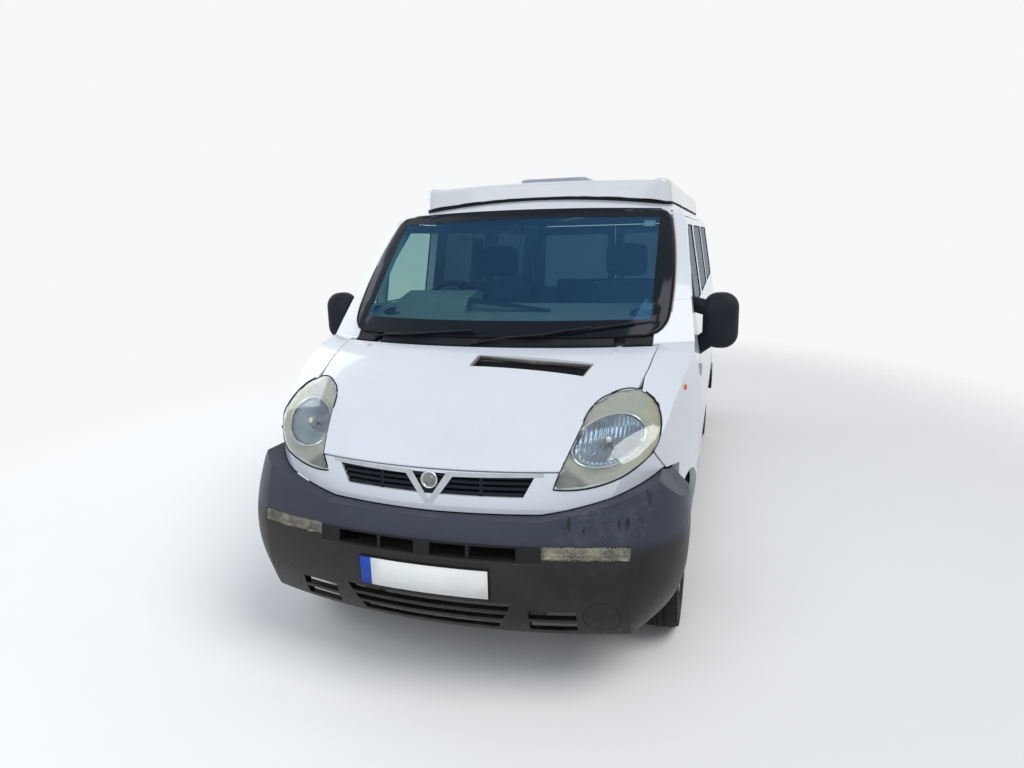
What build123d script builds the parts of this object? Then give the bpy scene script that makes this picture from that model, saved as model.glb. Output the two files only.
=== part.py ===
"""Camper van with a low elevating roof: a one-box panel van body on four wheels.

Millimetres, +Z up, the ground at z = 0. The front looks along -Y and the van's left is +X.
"""
from build123d import *
from math import cos, radians, sin, sqrt
import os

os.makedirs("parts", exist_ok=True)

# Axles, tyres and steering
front_axle_y = -1558
rear_axle_y = 1540
front_track = 1615
rear_track = 1630
tyre_radius = 335
tyre_width = 200
tyre_shoulder = 26
rim_radius = 203
rim_lip = 12
rim_width = 172
rim_skin = 9
disc_out = 34
disc_skin = 7
disc_slots = 8
axle_z = tyre_radius
front_arch_radius = 385
rear_arch_radius = 388
kingpin_foot = (722, 232)
kingpin_head = (575, 900)

# Body envelope, walls and gaps
half_width = 952
sill_z = 300
side_wall = 55
roof_wall = 38
skin_wall = 30
glass_inset = 3
glass_wall = 6
gap = 5.5
seam = 3.5
fit = 0.3
nose_bow = 249
roof_drop = 70
tail_bow = 38
tail_y = 2345
tail_knee_z = 560
tail_head_y = 2294
rail_z = 1868

# Front doors, sliding door and windows
door_front_y = -1166
door_rear_y = -212
door_foot_z = 452
door_head_z = 1838
door_head_y = -690
door_shoulder_z = 1430
belt_z = 1392
slide_front_y = -150
slide_rear_y = 905
slide_foot_z = 440
window_head_z = 1796
window_margin = 58
window_corner = 45
quarter_bar_y = -930
quarter_bar = 30
rear_window = (1010, 2065)

# Rear doors
rear_door_half = 823
rear_door_head_half = 762
rear_door_foot_z = 535
rear_door_shoulder_z = 1595
rear_door_head_z = 1846
rear_belt_z = 1250
rear_window_head_z = 1770

# Windscreen, bonnet, lamps and grille
screen_foot_z = 1302
screen_head_z = 1862
screen_foot_half = 744
screen_head_half = 726
bonnet_lip_z = 915
bonnet_rear_y = -1640
bonnet_corner = (770, -1484)
bonnet_rear_gap = 28
bonnet_axis = (-1482, 1252)
vent_box = (5, 524, -1822, -1722)
grille_top = (405, 893)
grille_foot = (362, 811)
slat_count = 4

# Bumpers
seam_z = 745
bumper_wall = 32
bumper_foot_z = 300
intake = (360, 609, 656)
lower_grille = (338, 278, 318, 437)
small_grille = (398, 572, 318, 412)
fog_blank = (662, 388, 66)
lamp_slot = (450, 762, 616, 668)
rear_bumper_y = 2391
rear_bumper_top_z = 522
rear_bumper_foot_z = 335

# Floor and inside
floor_z = 480
floor_wall = 42
firewall_y = -1136
firewall_wall = 28
cowl_z = 1215
post_x = 790
post_front_y = -1240
post_head_z = 1400

# Underside
engine_half = 308
spare_y = 1940
tow_eye_x = 300
tow_eye_y = 2260
tow_eye_z = 268
tow_eye_bore = 13
tow_eye_wall = 14

# Elevating roof
cap_front_y = -604
cap_rear_y = 1940
cap_front_half = 742
cap_rear_half = 770
cap_edge_z = 2050
cap_crown = 42
cap_wall = 24
seal_height = 16
seal_width = 24
aperture_half = 590
aperture_front_y = -400
aperture_rear_y = 1500
canvas_top_z = 2012

# Inside
driver_x = -430
steering_tilt = 40
steering_radius = 188
steering_centre = (driver_x, -790, 1365)
steering_hub = 44
column_length = 250
seat_foot_z = 770
bench_foot_z = 790
bench = (-440, 630, 1020, 1560)
kitchen = (-1000, -480, 22, 1100)


def side_outline(inset, out):
    """Side view of the body at a share of its half width out from the middle, drawn in by inset."""
    bow = nose_bow * out * out
    drop = roof_drop * out * out
    tail = tail_bow * out * out
    nose_foot = (-2290 + bow + inset, sill_z - 200)
    nose_top = (-2300 + bow + inset, 770)
    lip = (-2279 + bow + 0.75 * inset, 915 - 0.5 * inset)
    screen_foot = (-1600 + bow + 0.45 * inset, 1275 - 0.9 * inset)
    screen_head = (-970 + bow + 0.45 * inset, 1884 - 0.95 * inset - 0.6 * drop)
    roof_front = (-560 + bow + 0.15 * inset, 1962 - inset - drop)
    roof_rear = (2205 - tail - 0.7 * inset, 1932 - inset - drop)
    tail_head = (tail_head_y - tail - inset, 1852 - 0.8 * inset - drop)
    tail_belt = (tail_y - tail - inset, tail_knee_z)
    tail_foot = (tail_y - tail - inset, sill_z - 200)
    Line(nose_foot, nose_top)
    Line(nose_top, lip)
    SagittaArc(lip, screen_foot, 62)
    SagittaArc(screen_foot, screen_head, 16)
    SagittaArc(screen_head, roof_front, 8)
    SagittaArc(roof_front, roof_rear, 26)
    SagittaArc(roof_rear, tail_head, 14)
    Line(tail_head, tail_belt)
    Line(tail_belt, tail_foot)
    Line(tail_foot, nose_foot)


def hull(inset):
    """Whole outer volume of the body, drawn in by inset on every side."""
    with BuildPart() as volume:
        for out in (-1, 0, 1):
            with BuildSketch(Plane.YZ.offset(out * (half_width + 8))):
                with BuildLine():
                    side_outline(inset, abs(out))
                make_face()
        loft()
        with BuildSketch(Plane.XZ.offset(-2600)):
            with BuildLine():
                half = half_width - inset
                foot = (892 - inset, sill_z - 200)
                skirt = (half - 10, 560)
                belt = (half - 15, 1180)
                rail = (842 - inset, 1770)
                eave = (806 - inset, 1868 - 0.3 * inset)
                cant = (690 - inset, 1925 - 0.6 * inset)
                Polyline(cant, (0, 2120), (-cant[0], cant[1]))
                for side in (1, -1):
                    Line((side * foot[0], foot[1]), (side * skirt[0], skirt[1]))
                    ThreePointArc((side * skirt[0], skirt[1]), (side * half, 850), (side * belt[0], belt[1]))
                    Line((side * belt[0], belt[1]), (side * rail[0], rail[1]))
                    ThreePointArc((side * rail[0], rail[1]), (side * eave[0], eave[1]),
                                  (side * cant[0], cant[1]))
                Line(foot, (-foot[0], foot[1]))
            make_face()
        extrude(amount=5200, mode=Mode.INTERSECT)
        with BuildSketch(Plane.XY):
            with BuildLine():
                nose = (430, -2420 + inset)
                cheek = (640 - inset, -2190 + 0.5 * inset)
                wing = (862 - inset, -1880)
                waist = (half_width - inset, -1050)
                flank = (half_width - inset, 2230)
                corner = (850 - inset, 2440 - inset)
                Line(nose, (-nose[0], nose[1]))
                Line(corner, (-corner[0], corner[1]))
                for side in (1, -1):
                    Line((side * nose[0], nose[1]), (side * cheek[0], cheek[1]))
                    ThreePointArc((side * cheek[0], cheek[1]), (side * (786 - inset), -2070 + 0.3 * inset),
                                  (side * wing[0], wing[1]))
                    ThreePointArc((side * wing[0], wing[1]), (side * (929.8 - inset), -1465),
                                  (side * waist[0], waist[1]))
                    Line((side * waist[0], waist[1]), (side * flank[0], flank[1]))
                    ThreePointArc((side * flank[0], flank[1]), (side * (926 - inset), 2330 - 0.4 * inset),
                                  (side * corner[0], corner[1]))
            make_face()
        extrude(amount=2400, mode=Mode.INTERSECT)
    return volume.part


def side_prism(points, near, far, grow=0, corner=0):
    """Prism of a side-view outline of (y, z) points, from x = near to x = far."""
    with BuildPart() as prism:
        with BuildSketch(Plane.YZ.offset(near)):
            Polygon(*points, align=None)
            if corner:
                fillet(vertices(), corner)
            if grow:
                offset(amount=grow, kind=Kind.INTERSECTION)
        extrude(amount=far - near)
    return prism.part


def front_prism(points, near, far, grow=0, corner=0):
    """Prism of a front-view outline of (x, z) points, from y = near back to y = far."""
    with BuildPart() as prism:
        with BuildSketch(Plane.XZ.offset(-near)):
            Polygon(*points, align=None)
            if corner:
                fillet(vertices(), corner)
            if grow:
                offset(amount=grow, kind=Kind.INTERSECTION)
        extrude(amount=near - far)
    return prism.part


def plan_prism(points, foot, head, grow=0, corner=0):
    """Prism of a plan outline of (x, y) points, from z = foot up to z = head."""
    with BuildPart() as prism:
        with BuildSketch(Plane.XY.offset(foot)):
            Polygon(*points, align=None)
            if corner:
                fillet(vertices(), corner)
            if grow:
                offset(amount=grow, kind=Kind.INTERSECTION)
        extrude(amount=head - foot)
    return prism.part


def block(x0, x1, y0, y1, z0, z1, mode=Mode.ADD):
    """Box between two corners, in the part that is open."""
    with Locations(((x0 + x1) / 2, (y0 + y1) / 2, (z0 + z1) / 2)):
        Box(x1 - x0, y1 - y0, z1 - z0, mode=mode)


def rod(x0, x1, y, z, radius, mode=Mode.ADD):
    """Cylinder that lies along X, in the part that is open."""
    with Locations(((x0 + x1) / 2, y, z)):
        Cylinder(radius, x1 - x0, rotation=(0, 90, 0), mode=mode)


def mirrored(points):
    """The same outline on the van's other side."""
    return [(-x, z) for x, z in reversed(points)]


def finish(builder, name):
    """Label a finished piece and write it."""
    builder.part.label = name
    export_step(builder.part, f"parts/{name}.step")


outer = hull(0)
wall_inner = hull(side_wall)
roof_inner = hull(roof_wall)
skin_inner = hull(skin_wall)
glass_outer = hull(glass_inset)
glass_inner = hull(glass_inset + glass_wall)
panel_outer = hull(-seam)
seal_hull = hull(-seal_height)
seal_ring_top = hull(fit - seal_height)
trim_limit = hull(side_wall + 6)
steering_plane = Plane(origin=steering_centre,
                       z_dir=(0, cos(radians(steering_tilt)), sin(radians(steering_tilt))))

# Outlines that neighbours share
door_outline = [(door_front_y, door_foot_z), (door_rear_y, door_foot_z), (door_rear_y, door_head_z),
                (door_head_y, door_head_z), (door_front_y, door_shoulder_z)]
pillar_slope = (door_head_y - door_front_y) / (door_head_z - door_shoulder_z)
window_front_y = door_front_y + window_margin + 8
main_window = [(quarter_bar_y + quarter_bar / 2, belt_z), (door_rear_y - window_margin + 4, belt_z),
               (door_rear_y - window_margin + 4, window_head_z),
               (window_front_y + pillar_slope * (window_head_z - door_shoulder_z), window_head_z),
               (quarter_bar_y + quarter_bar / 2,
                door_shoulder_z + (quarter_bar_y + quarter_bar / 2 - window_front_y) / pillar_slope)]
quarter_light = [(window_front_y + 14, belt_z + 6), (quarter_bar_y - quarter_bar / 2, belt_z),
                 (quarter_bar_y - quarter_bar / 2,
                  door_shoulder_z + (quarter_bar_y - quarter_bar / 2 - window_front_y) / pillar_slope),
                 (window_front_y + 14, door_shoulder_z + 14 / pillar_slope)]
slide_outline = [(slide_front_y, slide_foot_z), (slide_rear_y, slide_foot_z),
                 (slide_rear_y, door_head_z), (slide_front_y, door_head_z)]
slide_window = [(slide_front_y + window_margin, belt_z), (slide_rear_y - window_margin, belt_z),
                (slide_rear_y - window_margin, window_head_z), (slide_front_y + window_margin, window_head_z)]
rear_side_window = [(rear_window[0], belt_z), (rear_window[1], belt_z),
                    (rear_window[1] - 30, window_head_z), (rear_window[0], window_head_z)]
rear_opening = [(-rear_door_half, rear_door_foot_z), (rear_door_half, rear_door_foot_z),
                (rear_door_half, rear_door_shoulder_z), (rear_door_head_half, rear_door_head_z),
                (-rear_door_head_half, rear_door_head_z), (-rear_door_half, rear_door_shoulder_z)]
rear_door_outline = [(gap / 2, rear_door_foot_z), (rear_door_half, rear_door_foot_z),
                     (rear_door_half, rear_door_shoulder_z), (rear_door_head_half, rear_door_head_z),
                     (gap / 2, rear_door_head_z)]
rear_glass_outline = [(75, rear_belt_z), (rear_door_half - 90, rear_belt_z),
                      (rear_door_half - 118, rear_window_head_z), (75, rear_window_head_z)]
screen_outline = [(-screen_foot_half, screen_foot_z), (screen_foot_half, screen_foot_z),
                  (screen_head_half, screen_head_z), (-screen_head_half, screen_head_z)]
lamp_outline = [(473, 846), (573, 851), (669, 872), (744, 908), (800, 948), (823, 1000), (826, 1045),
                (812, 1098), (770, 1128), (722, 1143), (644, 1138), (571, 1099), (548, 1052), (510, 947)]
bonnet_plan = [(488, -2340), (500, -2190), (700, -1960), (722, -1850), (750, -1690), bonnet_corner]
tail_lamp_outline = [(rear_door_half + 16, 1010), (990, 1010), (990, 1352), (rear_door_half + 16, 1352)]


def bonnet_prism(grow, rear_grow):
    """Plan outline of the bonnet, grown at the sides and lip by grow and at the rear by rear_grow."""
    with BuildPart() as prism:
        with BuildSketch(Plane.XY.offset(bonnet_lip_z - 6 - grow)):
            with BuildLine():
                for side in (1, -1):
                    Polyline(*[(side * (x + grow), y) for x, y in bonnet_plan[:-1]],
                             (side * (bonnet_corner[0] + grow), bonnet_corner[1] + rear_grow))
                lip_x, lip_y = bonnet_plan[0]
                Line((-lip_x - grow, lip_y), (lip_x + grow, lip_y))
                ThreePointArc((-bonnet_corner[0] - grow, bonnet_corner[1] + rear_grow),
                              (0, bonnet_rear_y + rear_grow),
                              (bonnet_corner[0] + grow, bonnet_corner[1] + rear_grow))
            make_face()
        extrude(amount=900)
    return prism.part


lamp_left = front_prism(lamp_outline, -2340, -1700, corner=12)
lamp_right = front_prism(mirrored(lamp_outline), -2340, -1700, corner=12)
lamp_left_seat = front_prism(lamp_outline, -2340, -1700, corner=12, grow=fit)
lamp_right_seat = front_prism(mirrored(lamp_outline), -2340, -1700, corner=12, grow=fit)
lamp_left_clear = front_prism(lamp_outline, -2340, -1700, corner=12, grow=seam)
lamp_right_clear = front_prism(mirrored(lamp_outline), -2340, -1700, corner=12, grow=seam)
bonnet_clear = bonnet_prism(gap, bonnet_rear_gap)


def bumper_seam(drop):
    """Front-view region under the bumper's top edge, lowered by drop."""
    with BuildPart() as region:
        with BuildSketch(Plane.XZ.offset(2500)):
            with BuildLine():
                for side in (1, -1):
                    Line((0, seam_z - drop), (side * 430, seam_z + 3 - drop))
                    ThreePointArc((side * 430, seam_z + 3 - drop), (side * 655, 801 - drop),
                                  (side * 842, 870 - drop))
                    Polyline((side * 842, 870 - drop), (side * 940, 765 - drop), (side * 1100, 600 - drop),
                             (side * 1100, 100))
                Line((-1100, 100), (1100, 100))
            make_face()
        extrude(amount=-760)
    return region.part


below_seam = bumper_seam(0)
below_seam_clear = bumper_seam(-seam)


def bumper_volume(inset):
    """Outer volume of the front bumper, drawn in by inset."""
    stations = [(bumper_foot_z - (20 if inset else 0), -2335, 868), (450, -2386, 932),
                (650, -2381, 946), (900, -2288, 925)]
    with BuildPart() as volume:
        for z, nose, half in stations:
            with BuildSketch(Plane.XY.offset(z)):
                with BuildLine():
                    tip = nose + inset
                    side = half - inset
                    ThreePointArc((-760 + inset, tip + 114), (0, tip), (760 - inset, tip + 114))
                    for hand in (1, -1):
                        ThreePointArc((hand * (760 - inset), tip + 114), (hand * (side - 50), tip + 236),
                                      (hand * side, -1960))
                        Line((hand * side, -1960), (hand * side, -1850))
                    Line((-side, -1850), (side, -1850))
                make_face()
        loft()
    return volume.part


# Wheel arches, as cylinders across the body
def arch(y, radius, near):
    """Pair of wheel spaces, from x = near out past the body on both sides."""
    with BuildPart() as space:
        for side in (1, -1):
            rod(min(side * near, side * 1100), max(side * near, side * 1100), y, axle_z, radius)
            x0, x1 = sorted((side * near, side * 1100))
            block(x0, x1, y - radius, y + radius, 100, axle_z)
    return space.part


front_arches = arch(front_axle_y, front_arch_radius, 500)
rear_arches = arch(rear_axle_y, rear_arch_radius, 660)

# Shells that the panels are cut from, left half first
def cut(body, *tools):
    """Body less every tool."""
    with BuildPart() as rest:
        add(body)
        for tool in tools:
            add(tool, mode=Mode.SUBTRACT)
    return rest.part


def common(body, *tools):
    """What body shares with every tool."""
    with BuildPart() as rest:
        add(body)
        for tool in tools:
            add(tool, mode=Mode.INTERSECT)
    return rest.part


def box_part(x0, x1, y0, y1, z0, z1):
    """Box between two corners, as a part of its own."""
    with BuildPart() as solid:
        block(x0, x1, y0, y1, z0, z1)
    return solid.part


def other_side(body):
    """The same piece on the van's right."""
    with BuildPart() as twin:
        add(mirror(body, about=Plane.YZ, mode=Mode.PRIVATE))
    return twin.part


wall_shell = cut(outer, wall_inner)
skin_shell = cut(outer, skin_inner)
glass_shell = cut(glass_outer, glass_inner)
side_shell = common(wall_shell, box_part(500, 1000, door_front_y - gap, 2400, sill_z, rail_z))
pillar_shell = common(wall_shell, box_part(500, 1000, -1520, door_front_y + 400, door_shoulder_z + 20, rail_z))
nose_shell = common(skin_shell, box_part(-1000, 1000, -2400, door_front_y - gap, 480, 1500))

# Elevating roof's hinges
cap_hinge_x = 520
cap_hinge_leaf = 60
cap_hinge_radius = 8
cap_axis_y = cap_rear_y + 14
cap_axis_z = 1958

# Details of the nose
bonnet_hinge_x = 600
badge_z = 864
badge_radius = 33
grille_outline = [(-grille_foot[0], grille_foot[1]), (grille_foot[0], grille_foot[1]),
                  (grille_top[0], grille_top[1]), (-grille_top[0], grille_top[1])]
panel_outline = [(-486, 905), (486, 905), (540, 960), (806, 960), (846, 868), (846, 700), (-846, 700),
                 (-846, 868), (-806, 960), (-540, 960)]
scuttle_outline = [(-screen_foot_half, 1180), (screen_foot_half, 1180),
                   (screen_foot_half, screen_foot_z - 1), (-screen_foot_half, screen_foot_z - 1)]
bonnet_recess = plan_prism([(vent_box[0] - 4, vent_box[2]), (vent_box[1] - 20, vent_box[2]),
                            (vent_box[1] + 6, vent_box[3]), (vent_box[0] + 6, vent_box[3])], 900, 1500, corner=8)

# Mirror: x inside, x outside, y front, y rear, z foot, z head
mirror_box = (950, 1116, -1182, -1082, 1212, 1474)


def bumper_openings():
    """Every hole through the front bumper's skin."""
    with BuildPart() as holes:
        block(-intake[0], intake[0], -2500, -2200, intake[1], intake[2])
        for side in (1, -1):
            x0, x1 = sorted((side * lamp_slot[0], side * lamp_slot[1]))
            block(x0, x1, -2500, -2100, lamp_slot[2], lamp_slot[3])
            x0, x1 = sorted((side * small_grille[0], side * small_grille[1]))
            block(x0, x1, -2500, -2100, small_grille[2], small_grille[3])
        add(front_prism([(-lower_grille[1], lower_grille[2]), (lower_grille[1], lower_grille[2]),
                         (lower_grille[0], lower_grille[3]), (-lower_grille[0], lower_grille[3])], -2500, -2200))
        for x in (-180, 0, 180):
            half = 32 if x == 0 else 6
            block(x - half, x + half, -2500, -2200, intake[1] - 1, intake[2] + 1, mode=Mode.SUBTRACT)
        for z in (lower_grille[2] + 38, lower_grille[2] + 78):
            block(-lower_grille[0], lower_grille[0], -2500, -2200, z - 7, z + 7, mode=Mode.SUBTRACT)
        for side in (1, -1):
            x0, x1 = sorted((side * (small_grille[0] - 1), side * (small_grille[1] + 1)))
            z = (small_grille[2] + small_grille[3]) / 2
            block(x0, x1, -2500, -2100, z - 7, z + 7, mode=Mode.SUBTRACT)
    return holes.part


bumper_holes = bumper_openings()

# Hinges of the front doors: barrels beside the shut line, one pair a door
hinge_axis_x = 948
hinge_axis_y = door_front_y - 10
hinge_radius = 6.5
hinge_leaf = 26
hinge_heights = (640, 1110)

# Hinges of the rear doors, on an axis that leans with the tail
rear_hinge_x = rear_door_half + gap / 2
rear_hinge_y = tail_y - tail_bow * (rear_door_half / (half_width + 8)) ** 2 + 9
rear_hinge_radius = 8
rear_hinge_leaf = 44
rear_hinge_heights = (640, 930, 1530)
tail_lean = (tail_y - tail_head_y) / (1852 - tail_knee_z)


def hinge_barrel(x, y, z, radius, length, lean=0.0):
    """Upright barrel centred at a point, leaning forward by lean a unit of height."""
    with Locations(Plane(origin=(x, y, z), z_dir=(0, -lean, 1))):
        Cylinder(radius, length)


# Body sides, with pillars, sills and quarter panels
tail_foot_zone = box_part(0, rear_door_half, 2100, 2500, sill_z - 10, rear_door_foot_z + 10)
tail_head_zone = box_part(0, rear_door_half, 2100, 2500, rear_door_head_z, rail_z + 10)
for hand, name in (("left", "body_side_left"), ("right", "body_side_right")):
    with BuildPart() as body_side:
        add(side_shell)
        add(pillar_shell)
        add(side_prism(door_outline, 500, 1000, grow=gap), mode=Mode.SUBTRACT)
        add(front_prism(screen_outline, -2000, -400, grow=fit, corner=50), mode=Mode.SUBTRACT)
        if hand == "left":
            add(side_prism(slide_outline, 500, 1000, grow=seam), mode=Mode.SUBTRACT)
        else:
            add(side_prism(slide_window, 500, 1000, corner=window_corner), mode=Mode.SUBTRACT)
        add(side_prism(rear_side_window, 500, 1000, corner=window_corner), mode=Mode.SUBTRACT)
        add(front_prism(rear_opening, 2100, 2500, grow=gap), mode=Mode.SUBTRACT)
        add(tail_foot_zone, mode=Mode.SUBTRACT)
        add(tail_head_zone, mode=Mode.SUBTRACT)
        add(front_prism(tail_lamp_outline, 2200, 2500, grow=fit), mode=Mode.SUBTRACT)
        add(rear_arches, mode=Mode.SUBTRACT)
        for z in rear_hinge_heights:
            y = rear_hinge_y - tail_lean * (z - tail_knee_z)
            span = rear_hinge_leaf
            block(rear_hinge_x - 12, rear_hinge_x + 12, y - 40, y + 20, z - span / 2 - fit, z + span / 2 + fit,
                  mode=Mode.SUBTRACT)
            for end in (-1, 1):
                height = z + end * (span / 2 + fit + 9)
                y_end = rear_hinge_y - tail_lean * (height - tail_knee_z)
                hinge_barrel(rear_hinge_x, y_end, height, rear_hinge_radius, 18 - fit, tail_lean)
                block(rear_hinge_x + 3, rear_hinge_x + 40, y_end - 26, y_end - 2, height - 7, height + 7)
    piece = body_side.part if hand == "left" else other_side(body_side.part)
    with BuildPart() as body_side:
        add(piece)
    finish(body_side, name)

with BuildPart() as roof_zone:
    block(-1000, 1000, -1200, 2400, rail_z, 2200)
    block(-rear_door_half + 0.5, rear_door_half - 0.5, 2150, 2400, rear_door_head_z + gap, rail_z + 10)
with BuildPart() as hatch:
    with BuildSketch(Plane.XY.offset(1700)):
        with Locations((0, (aperture_front_y + aperture_rear_y) / 2)):
            RectangleRounded(2 * aperture_half, aperture_rear_y - aperture_front_y, 70)
    extrude(amount=400)
# Roof, with its hatch for the elevating roof
with BuildPart() as roof_panel:
    add(cut(outer, roof_inner))
    add(roof_zone.part, mode=Mode.INTERSECT)
    add(hatch.part, mode=Mode.SUBTRACT)
    for side in (1, -1):
        for end in (-1, 1):
            x = side * cap_hinge_x + end * (cap_hinge_leaf / 2 + fit + 8)
            rod(x - 8 + fit, x + 8 - fit, cap_axis_y, cap_axis_z, cap_hinge_radius)
            block(x - 7, x + 7, cap_axis_y - 7, cap_axis_y + 7, cap_axis_z - 60, cap_axis_z)
    add(roof_inner, mode=Mode.SUBTRACT)
finish(roof_panel, "roof_panel")

# Front wings, with the fixed halves of the door hinges
with BuildPart() as wing:
    add(common(nose_shell, box_part(400, 1000, -2350, door_front_y - gap, 480, door_shoulder_z + 20)))
    for tool in (bonnet_clear, lamp_left_clear, below_seam_clear, front_arches):
        add(tool, mode=Mode.SUBTRACT)
    add(front_prism(screen_outline, -2000, -400, grow=fit, corner=50), mode=Mode.SUBTRACT)
    block(-screen_foot_half, screen_foot_half, -2000, -1000, 1000, screen_foot_z + 60, mode=Mode.SUBTRACT)
    add(front_prism(panel_outline, -2500, -1940, grow=seam), mode=Mode.SUBTRACT)
    for z in hinge_heights:
        half = hinge_leaf / 2 + fit
        block(hinge_axis_x - 30, hinge_axis_x + 30, hinge_axis_y - 8, hinge_axis_y + 30, z - half, z + half,
              mode=Mode.SUBTRACT)
        for end in (-1, 1):
            hinge_barrel(hinge_axis_x, hinge_axis_y, z + end * (half + 8), hinge_radius, 16)
    wing_part = wing.part.solids().sort_by(SortBy.VOLUME)[-1]
with BuildPart() as wings:
    add(wing_part)
    add(other_side(wing_part))
finish(wings, "wings")

# Chrome strips that meet in a V below a plain disc
with BuildPart() as grille_trim:
    with BuildSketch(Plane.XZ.offset(2500)):
        for side in (1, -1):
            Polygon(*[(side * x, z) for x, z in
                      [(437, 903), (437, 889), (96, 882), (14, 770), (0, 770), (0, 790), (72, 897)]],
                    align=None)
        with Locations((0, badge_z)):
            Circle(badge_radius)
    extrude(amount=-560)
    add(outer, mode=Mode.INTERSECT)
    add(glass_inner, mode=Mode.SUBTRACT)
finish(grille_trim, "grille_trim")

# Nose panel under the lamps and round the grille
with BuildPart() as front_panel:
    add(common(nose_shell, front_prism(panel_outline, -2500, -1940)))
    for tool in (bonnet_clear, lamp_left_seat, lamp_right_seat, below_seam_clear):
        add(tool, mode=Mode.SUBTRACT)
    add(front_prism(grille_outline, -2500, -2100), mode=Mode.SUBTRACT)
    add(grille_trim.part, mode=Mode.SUBTRACT)
finish(front_panel, "front_panel")

# Grille: slats across the opening, with three posts
with BuildPart() as grille:
    step = (grille_top[1] - grille_foot[1]) / slat_count
    for index in range(slat_count):
        z = grille_foot[1] + (index + 0.5) * step
        block(-420, 420, -2400, -2000, z - 0.28 * step, z + 0.28 * step)
    for x in (-205, 0, 205):
        half = 34 if x == 0 else 7
        block(x - half, x + half, -2400, -2000, grille_foot[1], grille_top[1])
    add(front_prism(grille_outline, -2500, -2000, grow=-fit), mode=Mode.INTERSECT)
    add(glass_inner, mode=Mode.INTERSECT)
    add(skin_inner, mode=Mode.SUBTRACT)
finish(grille, "grille")

# Bonnet, with its air intake and hinge lugs
with BuildPart() as bonnet:
    add(common(skin_shell, bonnet_prism(0, 0)))
    for tool in (lamp_left_clear, lamp_right_clear):
        add(tool, mode=Mode.SUBTRACT)
    add(bonnet_recess, mode=Mode.SUBTRACT)
    for side in (1, -1):
        x = side * bonnet_hinge_x
        block(x - 10, x + 10, bonnet_axis[0] - 120, bonnet_axis[0], bonnet_axis[1] - 7, bonnet_axis[1] + 7)
        rod(x - 10, x + 10, bonnet_axis[0], bonnet_axis[1], 9)
        rod(x - 30, x + 30, bonnet_axis[0], bonnet_axis[1], 4 + fit, mode=Mode.SUBTRACT)
finish(bonnet, "bonnet")

# Headlamps: lens and housing, one each side
with BuildPart() as headlamps:
    lamp = common(wall_shell, lamp_left)
    add(lamp)
    add(other_side(lamp))
finish(headlamps, "headlamps")

# Front bumper: a moulded shell with its intake, grilles, lamp pockets and plate seat
with BuildPart() as bumper_front:
    add(bumper_volume(0))
    add(common(bumper_volume(bumper_wall), box_part(-1100, 1100, -2500, -1800, 100, seam_z - 60)),
        mode=Mode.SUBTRACT)
    add(panel_outer, mode=Mode.SUBTRACT)
    add(below_seam, mode=Mode.INTERSECT)
    add(front_arches, mode=Mode.SUBTRACT)
    add(bumper_holes, mode=Mode.SUBTRACT)
finish(bumper_front, "bumper_front")

# Front indicator lamps, in the bumper's pockets
with BuildPart() as indicators:
    for side in (1, -1):
        x0, x1 = sorted((side * lamp_slot[0], side * lamp_slot[1]))
        block(x0 + fit, x1 - fit, -2500, -2100, lamp_slot[2] + fit, lamp_slot[3] - fit)
    add(cut(bumper_volume(2), bumper_volume(bumper_wall)), mode=Mode.INTERSECT)
finish(indicators, "indicators")

# Rear bumper round the tail's corners
with BuildPart() as bumper_rear:
    with BuildSketch(Plane.XY.offset(rear_bumper_foot_z)):
        with BuildLine():
            Line((-950, 1900), (950, 1900))
            for side in (1, -1):
                Line((side * 950, 1900), (side * 950, 2240))
                ThreePointArc((side * 950, 2240), (side * 914, 2330), (side * 820, 2370))
            ThreePointArc((-820, 2370), (0, rear_bumper_y), (820, 2370))
        make_face()
    extrude(amount=rear_bumper_top_z - rear_bumper_foot_z)
    fillet(bumper_rear.edges().group_by(Axis.Z)[-1].filter_by(lambda e: e.center().Y > 1905), 14)
    add(outer, mode=Mode.SUBTRACT)
    block(-2000, 2000, 1800, rear_axle_y + rear_arch_radius + 2, 0, 900, mode=Mode.SUBTRACT)
    add(box_part(-700, 700, 2000, 2330, 200, 600), mode=Mode.SUBTRACT)
finish(bumper_rear, "bumper_rear")

# Tail lamps in the rear corners
with BuildPart() as tail_lamps:
    lamp = common(wall_shell, front_prism(tail_lamp_outline, 2200, 2500))
    add(lamp)
    add(other_side(lamp))
finish(tail_lamps, "tail_lamps")

# Glass
with BuildPart() as windscreen:
    add(common(glass_shell, front_prism(screen_outline, -2000, -400, corner=50)))
finish(windscreen, "windscreen")

with BuildPart() as side_glass:
    pane = common(glass_shell, side_prism(rear_side_window, 500, 1000, corner=window_corner, grow=-fit))
    middle = common(glass_shell, side_prism(slide_window, 500, 1000, corner=window_corner, grow=-fit))
    for glass in (pane, middle):
        add(glass)
        add(other_side(glass))
finish(side_glass, "side_glass")

door_glass_part = common(glass_shell, side_prism(main_window, 500, 1000, corner=window_corner / 2, grow=-fit))
quarter_glass_part = common(glass_shell, side_prism(quarter_light, 500, 1000, corner=8, grow=-fit))
rear_glass_part = common(glass_shell, front_prism(rear_glass_outline, 2150, 2500, corner=window_corner,
                                                  grow=-fit))

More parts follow.
